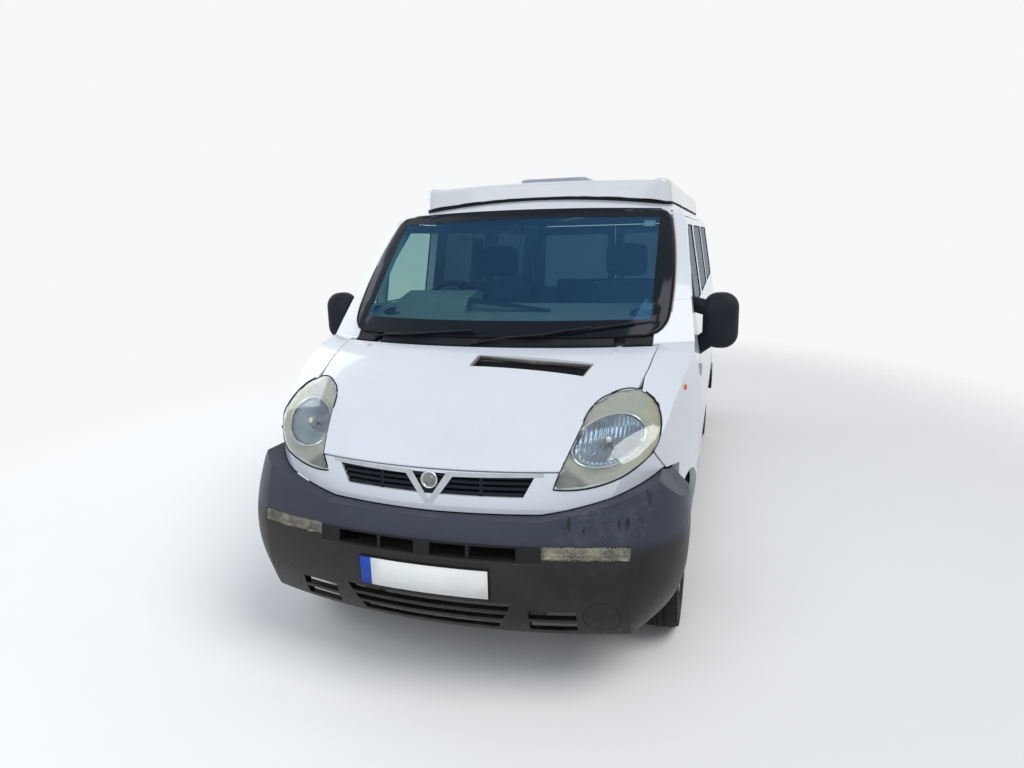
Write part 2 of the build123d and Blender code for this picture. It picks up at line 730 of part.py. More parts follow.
# Front door, its hinge barrels and mirror, made for the left and mirrored
with BuildPart() as door:
    add(common(side_shell, side_prism(door_outline, 500, 1000)))
    add(common(pillar_shell, side_prism(door_outline, 500, 1000)))
    add(side_prism(main_window, 500, 1000, corner=window_corner / 2), mode=Mode.SUBTRACT)
    add(side_prism(quarter_light, 500, 1000, corner=8), mode=Mode.SUBTRACT)
    for z in hinge_heights:
        hinge_barrel(hinge_axis_x, hinge_axis_y, z, hinge_radius, hinge_leaf)
        block(hinge_axis_x - 10, hinge_axis_x - 1, hinge_axis_y, door_front_y + 8, z - hinge_leaf / 2,
              z + hinge_leaf / 2)
    door_part = door.part

# Mirror head on its two-legged arm
with BuildPart() as mirror_left:
    with BuildSketch(Plane.XZ.offset(-mirror_box[2])):
        with Locations(((mirror_box[0] + mirror_box[1]) / 2, (mirror_box[4] + mirror_box[5]) / 2)):
            RectangleRounded(mirror_box[1] - mirror_box[0], mirror_box[5] - mirror_box[4], 48)
    extrude(amount=mirror_box[2] - mirror_box[3])
    fillet(mirror_left.edges().group_by(Axis.Y)[0], 34)
    for z in (mirror_box[4] + 20, mirror_box[5] - 40):
        with BuildSketch(Plane.XY.offset(z - 14)):
            Polygon((mirror_box[0] + 30, -1160), (mirror_box[0] + 30, -1114), (870, -1060), (870, -1112),
                    align=None)
        extrude(amount=28)
    add(outer, mode=Mode.SUBTRACT)
    mirror_part = mirror_left.part

with BuildPart() as sliding_door:
    add(common(side_shell, side_prism(slide_outline, 500, 1000)))
    add(side_prism(slide_window, 500, 1000, corner=window_corner), mode=Mode.SUBTRACT)
finish(sliding_door, "sliding_door")

# Rear door with its hinge barrels, made for the left and mirrored
with BuildPart() as rear_door:
    add(common(wall_shell, front_prism(rear_door_outline, 2150, 2500)))
    add(front_prism(rear_glass_outline, 2150, 2500, corner=window_corner), mode=Mode.SUBTRACT)
    for z in rear_hinge_heights:
        y = rear_hinge_y - tail_lean * (z - tail_knee_z)
        hinge_barrel(rear_hinge_x, y, z, rear_hinge_radius, rear_hinge_leaf, tail_lean)
        block(rear_hinge_x - 44, rear_hinge_x - 2, y - 22, y - 2, z - rear_hinge_leaf / 2 + 2,
              z + rear_hinge_leaf / 2 - 2)
    rear_door_part = rear_door.part

for hand, turn in (("left", lambda body: body), ("right", other_side)):
    for name, piece in (("door", door_part), ("mirror", mirror_part), ("rear_door", rear_door_part),
                        ("rear_glass", rear_glass_part)):
        with BuildPart() as placed:
            add(turn(piece))
        finish(placed, f"{name}_{hand}")
    with BuildPart() as placed:
        add(turn(door_glass_part))
        add(turn(quarter_glass_part))
    finish(placed, f"door_glass_{hand}")

# Floor, wheel boxes and the cross panel below the rear doors
with BuildPart() as floor_pan:
    block(-1000, 1000, firewall_y + firewall_wall, 2280, floor_z - floor_wall, floor_z)
    for side in (1, -1):
        x0, x1 = sorted((side * 640, side * 1000))
        block(x0, x1, rear_axle_y - rear_arch_radius - 25, rear_axle_y + rear_arch_radius + 25,
              floor_z - 20, axle_z + rear_arch_radius + 25)
    add(wall_inner, mode=Mode.INTERSECT)
    add(cut(box_part(-1000, 1000, door_front_y - gap, door_rear_y + gap, door_foot_z - gap, floor_z + 1),
            trim_limit), mode=Mode.SUBTRACT)
    add(rear_arches, mode=Mode.SUBTRACT)
    add(common(wall_shell, box_part(-rear_door_half + 0.5, rear_door_half - 0.5, 2200, 2500, rear_bumper_foot_z,
                                    rear_door_foot_z - gap)))
    block(-800, 800, 2270, 2292, floor_z - floor_wall, floor_z)
finish(floor_pan, "floor_pan")

# Firewall, hinge pillars, cowl and strut mounts
with BuildPart() as bulkhead:
    block(-1000, 1000, firewall_y, firewall_y + firewall_wall, floor_z - floor_wall, cowl_z)
    block(-760, 760, -1560, firewall_y + 10, cowl_z - 14, cowl_z)
    for side in (1, -1):
        x0, x1 = sorted((side * post_x, side * 1000))
        block(x0, x1, post_front_y, firewall_y + firewall_wall, floor_z, post_head_z)
        x0, x1 = sorted((side * 470, side * 770))
        block(x0, x1, -1660, firewall_y + 10, kingpin_head[1] + 14, kingpin_head[1] + 34)
        x0, x1 = sorted((side * 730, side * 760))
        block(x0, x1, -1660, firewall_y + 10, kingpin_head[1] + 14, cowl_z)
    add(trim_limit, mode=Mode.INTERSECT)
    add(common(skin_inner, box_part(post_x, 1000, post_front_y, door_front_y - gap, floor_z, post_head_z)))
    add(common(skin_inner, box_part(-1000, -post_x, post_front_y, door_front_y - gap, floor_z, post_head_z)))
    for side in (1, -1):
        x = side * bonnet_hinge_x
        for end in (-1, 1):
            x0, x1 = sorted((x + end * (10 + fit), x + end * 17))
            block(x0, x1, bonnet_axis[0] - 12, bonnet_axis[0] + 12, cowl_z - 4, bonnet_axis[1] + 8)
        rod(x - 16, x + 16, bonnet_axis[0], bonnet_axis[1], 4)
    add(front_arches, mode=Mode.SUBTRACT)
finish(bulkhead, "bulkhead")

# Black scuttle panel between the bonnet and the windscreen
with BuildPart() as scuttle:
    add(common(cut(glass_outer, skin_inner), front_prism(scuttle_outline, -2000, -1300)))
    add(bonnet_prism(0, bonnet_rear_gap), mode=Mode.SUBTRACT)
    for side in (1, -1):
        x = side * bonnet_hinge_x
        block(x - 24, x + 24, -1700, bonnet_axis[0] + 20, 1100, 1500, mode=Mode.SUBTRACT)
    block(-1000, 1000, -2000, -1700, 1000, 1500, mode=Mode.SUBTRACT)
finish(scuttle, "scuttle")
# Wheels and tyres
def tyre_at(x, y):
    """Tyre with rounded shoulders, its axle along X."""
    with BuildPart() as tyre:
        with BuildSketch(Plane.XZ.offset(-y)):
            with BuildLine():
                half = tyre_width / 2
                bead = rim_width / 2 - rim_skin - 2
                bottom = axle_z + rim_radius + fit
                top = axle_z + tyre_radius
                for side in (1, -1):
                    Line((x + side * bead, bottom), (x + side * bead, bottom + rim_lip + 1))
                    ThreePointArc((x + side * bead, bottom + rim_lip + 1),
                                  (x + side * half, axle_z + rim_radius + 68),
                                  (x + side * (half - 4), top - tyre_shoulder))
                    ThreePointArc((x + side * (half - 4), top - tyre_shoulder),
                                  (x + side * (half - 12), top - 7), (x + side * (half - 30), top))
                Line((x - bead, bottom), (x + bead, bottom))
                Line((x - half + 30, top), (x + half - 30, top))
            make_face()
        revolve(axis=Axis((x, y, axle_z), (1, 0, 0)))
    return tyre.part


def wheel_at(x, y):
    """Steel wheel of the left side: rim, pressed disc with slots, hub cap and brake disc."""
    with BuildPart() as wheel:
        with BuildSketch(Plane.XZ.offset(-y)):
            with BuildLine():
                half = rim_width / 2
                Polyline((x - half, axle_z + rim_radius + rim_lip), (x - half, axle_z + rim_radius - rim_skin),
                         (x - half + 40, axle_z + rim_radius - rim_skin - 16),
                         (x + half - 44, axle_z + rim_radius - rim_skin - 16),
                         (x + half, axle_z + rim_radius - rim_skin),
                         (x + half, axle_z + rim_radius + rim_lip),
                         (x + half - rim_skin, axle_z + rim_radius + rim_lip),
                         (x + half - rim_skin, axle_z + rim_radius), (x - half + rim_skin, axle_z + rim_radius),
                         (x - half + rim_skin, axle_z + rim_radius + rim_lip), close=True)
            make_face()
        revolve(axis=Axis((x, y, axle_z), (1, 0, 0)))
        with BuildSketch(Plane.XZ.offset(-y)):
            with BuildLine():
                inner_x = x + disc_out
                outer_x = inner_x + disc_skin
                Polyline((inner_x, axle_z), (inner_x, axle_z + 88), (inner_x + 16, axle_z + 110),
                         (inner_x + 2, axle_z + rim_radius - rim_skin - 14),
                         (outer_x + 4, axle_z + rim_radius - rim_skin - 14), (outer_x + 16, axle_z + 112),
                         (outer_x + 4, axle_z + 84), (outer_x + 20, axle_z + 60), (outer_x + 24, axle_z),
                         close=True)
            make_face()
        revolve(axis=Axis((x, y, axle_z), (1, 0, 0)))
        with BuildSketch(Plane.YZ.offset(x)):
            with Locations((y, axle_z)):
                with PolarLocations(146, disc_slots):
                    SlotOverall(46, 24, rotation=90)
        extrude(amount=120, mode=Mode.SUBTRACT)
        rod(x + disc_out - 30, x + disc_out, y, axle_z, 76)
        rod(x + disc_out - 42, x + disc_out - 18, y, axle_z, 142)
        rod(x - 100, x + disc_out - 6, y, axle_z, 24 + fit, mode=Mode.SUBTRACT)
    return wheel.part


for end, y, track in (("front", front_axle_y, front_track), ("rear", rear_axle_y, rear_track)):
    tyre_part = tyre_at(track / 2, y)
    wheel_part = wheel_at(track / 2, y)
    for hand, turn in (("left", lambda body: body), ("right", other_side)):
        for name, piece in (("tyre", tyre_part), ("wheel", wheel_part)):
            with BuildPart() as placed:
                add(turn(piece))
            finish(placed, f"{name}_{end}_{hand}")

# Steering knuckle with hub, strut and spring seat, on the leaning kingpin line
kingpin_line = Plane(origin=(kingpin_foot[0], front_axle_y, kingpin_foot[1]),
                     z_dir=(kingpin_head[0] - kingpin_foot[0], 0, kingpin_head[1] - kingpin_foot[1]))
kingpin_length = sqrt((kingpin_head[0] - kingpin_foot[0]) ** 2 + (kingpin_head[1] - kingpin_foot[1]) ** 2)
with BuildPart() as knuckle:
    hub_x = front_track / 2 + disc_out
    rod(hub_x - 110, hub_x - 44, front_axle_y, axle_z, 46)
    rod(hub_x - 46, hub_x - 8, front_axle_y, axle_z, 24)
    block(672, hub_x - 92, front_axle_y - 34, front_axle_y + 34, 262, 430)
    for start, length, radius in ((0, 60, 17), (50, 330, 30), (370, kingpin_length - 372, 24),
                                  (405, 8, 62), (kingpin_length - 40, 8, 54), (405, kingpin_length - 440, 44)):
        with BuildSketch(kingpin_line.offset(start)):
            Circle(radius)
        extrude(amount=length)
    block(640, 700, front_axle_y + 20, front_axle_y + 110, 300, 322)
    knuckle_part = knuckle.part
for hand, turn in (("left", lambda body: body), ("right", other_side)):
    with BuildPart() as placed:
        add(turn(knuckle_part))
    finish(placed, f"knuckle_{hand}")

# Front subframe with its lower arms
with BuildPart() as subframe:
    block(-400, 400, front_axle_y - 60, front_axle_y + 90, 205, 304)
    for side in (1, -1):
        x0, x1 = sorted((side * 330, side * 400))
        block(x0, x1, -2100, firewall_y + 250, 300, 370)
        block(x0, x1, -2130, -2080, 250, 520)
        x0, x1 = sorted((side * (engine_half + fit), side * 400))
        block(x0, x1, -1790, -1710, 360, 450)
        with BuildSketch(Plane.XY.offset(kingpin_foot[1] - 24)):
            Polygon((side * 380, front_axle_y - 45), (side * 700, front_axle_y - 22),
                    (side * 700, front_axle_y + 22), (side * 380, front_axle_y + 180), align=None)
            with Locations((side * kingpin_foot[0], front_axle_y)):
                Circle(28)
        extrude(amount=24 - 4)
    for side in (1, -1):
        with BuildSketch(Plane(origin=(side * kingpin_foot[0], front_axle_y, kingpin_foot[1]),
                               z_dir=(side * (kingpin_head[0] - kingpin_foot[0]), 0,
                                      kingpin_head[1] - kingpin_foot[1])).offset(-20)):
            Circle(15)
        extrude(amount=20 - fit)
    block(-420, 420, firewall_y + 200, firewall_y + 250, 330, floor_z - floor_wall)
finish(subframe, "subframe")

# Radiator, slam panel and crash beam behind the nose
with BuildPart() as front_carrier:
    block(-325, 325, -2150, -2110, 330, 850)
    block(-470, 470, -2190, -2100, 850, 868)
    block(-560, 560, -2230, -2160, 470, 560)
    for side in (1, -1):
        x0, x1 = sorted((side * 400, side * 460))
        block(x0, x1, -2180, -2085, 330, 868)
    add(skin_inner, mode=Mode.INTERSECT)
    for side in (1, -1):
        x0, x1 = sorted((side * 150, side * 230))
        add(common(box_part(x0, x1, -2400, -2200, 482, 548), bumper_volume(bumper_wall + fit)))
finish(front_carrier, "front_carrier")

with BuildPart() as engine:
    block(-engine_half, engine_half, -1990, -1500, 380, 900)
    fillet(engine.edges(), 24)
finish(engine, "engine")

# Rear axle: trailing arms on a cross tube, hubs and springs
with BuildPart() as rear_axle:
    hub_x = rear_track / 2 + disc_out
    rod(-620, 620, 1300, 372, 46)
    for side in (1, -1):
        x0, x1 = sorted((side * 570, side * 650))
        block(x0, x1, 1120, 1620, 330, 400)
        x0, x1 = sorted((side * 640, side * (hub_x - 44)))
        rod(x0, x1, rear_axle_y, axle_z, 46)
        x0, x1 = sorted((side * (hub_x - 46), side * (hub_x - 8)))
        rod(x0, x1, rear_axle_y, axle_z, 24)
        with Locations((side * 540, 1480, (400 + floor_z - floor_wall) / 2)):
            Cylinder(44, floor_z - floor_wall - 400)
        block(side * 540 - 50, side * 540 + 50, 1430, 1530, 370, 400)
        x0, x1 = sorted((side * 575, side * 645))
        block(x0, x1, 1105, 1160, 330, floor_z - floor_wall)
finish(rear_axle, "rear_axle")

# Exhaust: pipe, box and tail
with BuildPart() as exhaust:
    with BuildLine():
        path = FilletPolyline((-180, -1470, 420), (-180, -1390, 290), (-300, -1180, 262), (-430, -900, 262),
                              (-430, 1330, 262), (-470, 1700, 262), (-560, 1960, 262), (-560, 2290, 262),
                              radius=70)
    with BuildSketch(Plane(origin=path @ 0, z_dir=path % 0)):
        Circle(27)
    sweep()
    with Locations((-430, 300, 262)):
        Cylinder(74, 520, rotation=(90, 0, 0))
    for y in (-300, 800):
        block(-440, -420, y - 12, y + 12, 262, floor_z - floor_wall)
    block(-570, -550, 2000, 2024, 262, floor_z - floor_wall)
finish(exhaust, "exhaust")

with BuildPart() as fuel_tank:
    block(120, 640, -260, 620, 268, floor_z - floor_wall)
    fillet(fuel_tank.edges(), 26)
finish(fuel_tank, "fuel_tank")

# Spare wheel in its cradle below the tail
with BuildPart() as spare_wheel:
    with BuildSketch(Plane.XZ.offset(-spare_y)):
        with BuildLine():
            foot = 238
            Polyline((60, foot + 30), (215, foot + 30), (230, foot + 4), (300, foot), (322, foot + 24),
                     (322, foot + 166), (300, foot + 188), (235, foot + 184), (215, foot + 120),
                     (60, foot + 120), close=True)
        make_face()
    revolve(axis=Axis((0, spare_y, 0), (0, 0, 1)))
    with Locations((0, spare_y, (foot + 30 + floor_z - floor_wall) / 2)):
        Cylinder(62, floor_z - floor_wall - foot - 30)
finish(spare_wheel, "spare_wheel")

# Rear towing eye: a plate below the floor with a bore for the shackle's pin
with BuildPart() as tow_eye:
    with BuildSketch(Plane.YZ.offset(tow_eye_x)):
        Polygon((tow_eye_y - 24, tow_eye_z - 24), (tow_eye_y + 24, tow_eye_z - 24),
                (tow_eye_y + 24, floor_z - floor_wall), (tow_eye_y - 60, floor_z - floor_wall), align=None)
        with Locations((tow_eye_y, tow_eye_z)):
            Circle(tow_eye_bore, mode=Mode.SUBTRACT)
    extrude(amount=tow_eye_wall)
finish(tow_eye, "tow_eye")

# Dashboard across the cab, with its instrument hood
with BuildPart() as dashboard:
    with BuildSketch(Plane.YZ.offset(-1000)):
        Polygon((-1500, 1250), (-1490, 1290), (-1230, 1372), (-1010, 1408), (-930, 1392), (-880, 1290),
                (-850, 1120), (-880, 950), (-1000, 840), (firewall_y + firewall_wall, 840),
                (firewall_y + firewall_wall, 1230), (-1380, 1250), align=None)
        fillet(vertices().sort_by(Axis.X)[-3:], 24)
    extrude(amount=2000)
    with BuildSketch(Plane.YZ.offset(-640)):
        Polygon((-1260, 1330), (-1180, 1440), (-1020, 1478), (-950, 1462), (-905, 1330), align=None)
        fillet(vertices(), 18)
    extrude(amount=400)
    block(-110, 150, -1060, -840, 560, 900)
    with BuildSketch(steering_plane.offset(-column_length)):
        Circle(30)
    extrude(amount=column_length - steering_hub - fit)
    add(trim_limit, mode=Mode.INTERSECT)
    for side in (1, -1):
        x0, x1 = sorted((side * (post_x - 4), side * 1000))
        block(x0, x1, -1700, firewall_y + firewall_wall + 4, 700, post_head_z + 100, mode=Mode.SUBTRACT)
finish(dashboard, "dashboard")

with BuildPart() as steering_wheel:
    with BuildSketch(Plane(origin=steering_plane.origin, x_dir=(0, -sin(radians(steering_tilt)),
                                                               cos(radians(steering_tilt))),
                           z_dir=(1, 0, 0))):
        with Locations((steering_radius, 0)):
            Circle(15)
    revolve(axis=Axis(steering_plane.origin, steering_plane.z_dir))
    with BuildSketch(steering_plane.offset(-steering_hub)):
        Circle(62)
    extrude(amount=steering_hub)
    for angle in (15, 165, 270):
        with BuildSketch(steering_plane.offset(-18)):
            with BuildLine():
                Polyline(*[(r * cos(radians(angle)) - w * sin(radians(angle)),
                            r * sin(radians(angle)) + w * cos(radians(angle)))
                           for r, w in ((30, -24), (steering_radius - 6, -14), (steering_radius - 6, 14),
                                        (30, 24))], close=True)
            make_face()
        extrude(amount=14)
finish(steering_wheel, "steering_wheel")

# Seats: pedestals, cushions with backs and head restraints, and the rear bench
with BuildPart() as seat_bases:
    for x in (driver_x, -driver_x):
        block(x - 190, x + 190, -640, -200, floor_z, seat_foot_z)
    block(bench[0], bench[1], bench[2], bench[3], floor_z, bench_foot_z)
    fillet(seat_bases.edges().filter_by(Axis.Z), 20)
finish(seat_bases, "seat_bases")

with BuildPart() as seats:
    for x in (driver_x, -driver_x):
        with BuildSketch(Plane.YZ.offset(x - 235)):
            Polygon((-700, seat_foot_z + fit), (-180, seat_foot_z + fit), (-60, 1010), (-10, 1480),
                    (-120, 1500), (-185, 1330), (-240, 940), (-300, 900), (-680, 930), align=None)
            fillet(vertices(), 30)
        extrude(amount=470)
        with BuildSketch(Plane.YZ.offset(x - 130)):
            Polygon((-90, 1470), (-14, 1470), (-4, 1700), (-100, 1705), (-120, 1530), align=None)
            fillet(vertices(), 20)
        extrude(amount=260)
    with BuildSketch(Plane.YZ.offset(bench[0])):
        Polygon((bench[2] - 10, bench_foot_z + fit), (bench[3], bench_foot_z + fit), (bench[3] + 110, 1400),
                (bench[3] - 10, 1420), (bench[3] - 130, 925), (bench[2] - 10, 925), align=None)
        fillet(vertices(), 28)
    extrude(amount=bench[1] - bench[0])
finish(seats, "seats")

# Kitchen unit along the driver's side, with its worktop, doors and sink recess
with BuildPart() as kitchen_unit:
    block(kitchen[0], kitchen[1], kitchen[2], kitchen[3], floor_z, 1340)
    block(kitchen[0], kitchen[1] + 12, kitchen[2] - 8, kitchen[3] + 8, 1340, 1365)
    add(trim_limit, mode=Mode.INTERSECT)
    with BuildSketch(Plane.XY.offset(1366)):
        with Locations(((kitchen[0] + kitchen[1]) / 2 + 20, kitchen[2] + 260)):
            RectangleRounded(250, 330, 50)
    extrude(amount=-130, mode=Mode.SUBTRACT)
    for index in range(3):
        y = kitchen[2] + 20 + index * (kitchen[3] - kitchen[2] - 20) / 3
        block(kitchen[1] - 4, kitchen[1] + 4, y, y + 6, floor_z + 60, 1330, mode=Mode.SUBTRACT)
finish(kitchen_unit, "kitchen_unit")


# Elevating roof cap, its seal, and the folded canvas inside
def cap_edges(inset):
    """Edges of the cap's plan outline, drawn in by inset."""
    front = cap_front_y + inset
    for side in (1, -1):
        ThreePointArc((side * (cap_front_half - 60 - inset), front + 36),
                      (side * (cap_front_half - 18 - inset), front + 60),
                      (side * (cap_front_half - inset), front + 110))
        Line((side * (cap_front_half - inset), front + 110), (side * (cap_rear_half - inset), 1860 - inset))
        ThreePointArc((side * (cap_rear_half - inset), 1860 - inset),
                      (side * (cap_rear_half - 24 - inset), 1916 - inset),
                      (side * (cap_rear_half - 80 - inset), cap_rear_y - inset))
    ThreePointArc((-cap_front_half + 60 + inset, front + 36), (0, front),
                  (cap_front_half - 60 - inset, front + 36))
    Line((-cap_rear_half + 80 + inset, cap_rear_y - inset), (cap_rear_half - 80 - inset, cap_rear_y - inset))


def cap_volume(inset):
    """Cap's outer volume under its crowned top, drawn in by inset."""
    with BuildPart() as volume:
        with BuildSketch(Plane.XY.offset(1850)):
            with BuildLine():
                cap_edges(inset)
            make_face()
        extrude(amount=400)
        with BuildSketch(Plane.XZ.offset(900)):
            with BuildLine():
                edge = cap_edge_z - inset
                ThreePointArc((-820, edge), (0, edge + cap_crown), (820, edge))
                Polyline((-820, edge), (-820, 1800), (820, 1800), (820, edge))
            make_face()
        extrude(amount=-3200, mode=Mode.INTERSECT)
    return volume.part


with BuildPart() as pop_roof:
    add(cap_volume(0))
    fillet(pop_roof.edges().group_by(Axis.Z)[-1] + pop_roof.edges().filter_by(
        lambda e: e.center().Z > cap_edge_z - 8 and e.center().Z < cap_edge_z + 60), 26)
    add(cap_volume(cap_wall), mode=Mode.SUBTRACT)
    add(seal_hull, mode=Mode.SUBTRACT)
    for side in (1, -1):
        x = side * cap_hinge_x
        rod(x - cap_hinge_leaf / 2, x + cap_hinge_leaf / 2, cap_axis_y, cap_axis_z, cap_hinge_radius)
        block(x - cap_hinge_leaf / 2, x + cap_hinge_leaf / 2, cap_rear_y - 14, cap_axis_y, cap_axis_z - 4,
              cap_axis_z + 8)
    with BuildSketch(Plane.XY.offset(cap_edge_z + 10)):
        with Locations((-105, 350)):
            RectangleRounded(470, 420, 60)
    extrude(amount=80)
    fillet(pop_roof.edges().group_by(Axis.Z)[-1], 20)
finish(pop_roof, "pop_roof")

with BuildPart() as roof_seal:
    for inset, mode in ((3, Mode.ADD), (3 + seal_width, Mode.SUBTRACT)):
        with BuildSketch(Plane.XY.offset(1800)):
            with BuildLine():
                cap_edges(inset)
            make_face()
        extrude(amount=400, mode=mode)
    add(seal_ring_top, mode=Mode.INTERSECT)
    add(outer, mode=Mode.SUBTRACT)
finish(roof_seal, "roof_seal")

with BuildPart() as canvas:
    with BuildSketch(Plane.XY.offset(1900)):
        with Locations((0, (aperture_front_y + aperture_rear_y) / 2)):
            RectangleRounded(2 * aperture_half + 110, aperture_rear_y - aperture_front_y + 110, 90)
            RectangleRounded(2 * aperture_half + 50, aperture_rear_y - aperture_front_y + 50, 70,
                             mode=Mode.SUBTRACT)
    extrude(amount=canvas_top_z - 1900)
    add(outer, mode=Mode.SUBTRACT)
finish(canvas, "canvas")

# Wiper arms and blades on the windscreen
with BuildPart() as wipers:
    for pivot, tip in (((-88, -1592), (500, -1400)), ((-640, -1470), (-60, -1500))):
        with BuildSketch(Plane.XY.offset(1240)):
            with BuildLine():
                a = Vector(*pivot)
                b = Vector(*tip)
                along = (b - a).normalized()
                across = Vector(-along.Y, along.X)
                Polyline(a + across * 9, b + across * 5, b - across * 5, a - across * 9, close=True)
            make_face()
            with Locations(pivot):
                Circle(14)
        extrude(amount=300)
    add(cut(seal_ring_top, glass_outer), mode=Mode.INTERSECT)
finish(wipers, "wipers")
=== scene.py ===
import logging
import math
from dataclasses import dataclass
from enum import Enum
from typing import Mapping, Optional, Sequence, Union

import bmesh
import bpy
from mathutils import Matrix, Vector
from mathutils.bvhtree import BVHTree


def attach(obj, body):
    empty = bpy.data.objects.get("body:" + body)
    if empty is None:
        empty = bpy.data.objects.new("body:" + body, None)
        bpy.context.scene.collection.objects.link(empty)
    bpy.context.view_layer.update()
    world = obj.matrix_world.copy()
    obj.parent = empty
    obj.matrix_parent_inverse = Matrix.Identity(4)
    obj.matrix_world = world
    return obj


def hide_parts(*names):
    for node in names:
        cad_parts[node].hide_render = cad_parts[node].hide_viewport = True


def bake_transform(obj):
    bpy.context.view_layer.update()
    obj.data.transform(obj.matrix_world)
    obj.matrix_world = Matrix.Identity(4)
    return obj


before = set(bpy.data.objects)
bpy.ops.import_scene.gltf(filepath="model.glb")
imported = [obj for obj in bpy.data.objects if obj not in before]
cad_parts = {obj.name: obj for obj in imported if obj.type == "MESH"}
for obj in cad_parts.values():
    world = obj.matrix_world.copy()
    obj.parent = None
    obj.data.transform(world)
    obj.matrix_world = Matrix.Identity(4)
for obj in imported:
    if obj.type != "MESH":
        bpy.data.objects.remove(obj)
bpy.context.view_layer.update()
LOG = logging.getLogger("camper")
Colour = tuple[float, float, float]
Point = Union[Vector, tuple[float, float, float]]
Flat = tuple[float, float]
Number = Union["Channel", float]
Tint = Union[bpy.types.NodeSocket, Colour]
SIDES = (("left", 1), ("right", -1))
FAR = 4.0
SCREEN_FOOT = 1.302
SCREEN_CROWN = 1.876
AXLES = (("front", -1.558, 0.8075), ("rear", 1.540, 0.815))
WHEEL_HEIGHT = 0.335


class Channel:
    """One number that varies over a surface, used in plain expressions."""

    def __init__(self, tree: "Tree", socket: bpy.types.NodeSocket) -> None:
        """Wrap an output socket of a tree."""
        self.tree = tree
        self.socket = socket

    def _math(self, operation: str, first: Number, second: Number) -> "Channel":
        """Result of one Math node."""
        node = self.tree.add("ShaderNodeMath", {"operation": operation}, {0: first, 1: second})
        return Channel(self.tree, node.outputs[0])

    def __add__(self, other: Number) -> "Channel":
        """Sum."""
        return self._math("ADD", self, other)

    __radd__ = __add__

    def __sub__(self, other: Number) -> "Channel":
        """Difference."""
        return self._math("SUBTRACT", self, other)

    def __rsub__(self, other: Number) -> "Channel":
        """Difference from a plain number."""
        return self._math("SUBTRACT", other, self)

    def __mul__(self, other: Number) -> "Channel":
        """Product."""
        return self._math("MULTIPLY", self, other)

    __rmul__ = __mul__

    def __abs__(self) -> "Channel":
        """Size without its sign."""
        return self._math("ABSOLUTE", self, 0.0)

    def least(self, other: Number) -> "Channel":
        """Lesser of two numbers."""
        return self._math("MINIMUM", self, other)

    def most(self, other: Number) -> "Channel":
        """Greater of two numbers."""
        return self._math("MAXIMUM", self, other)

    def wave(self) -> "Channel":
        """Sine."""
        return self._math("SINE", self, 0.0)

    def rise(self, low: float, high: float) -> "Channel":
        """Smooth step from 0 at low to 1 at high, or the other way round.

        Args:
            low: Value at which the result is 0.
            high: Value at which the result is 1.

        Returns:
            The eased mask.
        """
        node = self.tree.add("ShaderNodeMapRange", {"interpolation_type": "SMOOTHSTEP"},
                             {"Value": self, "From Min": low, "From Max": high})
        return Channel(self.tree, node.outputs[0])


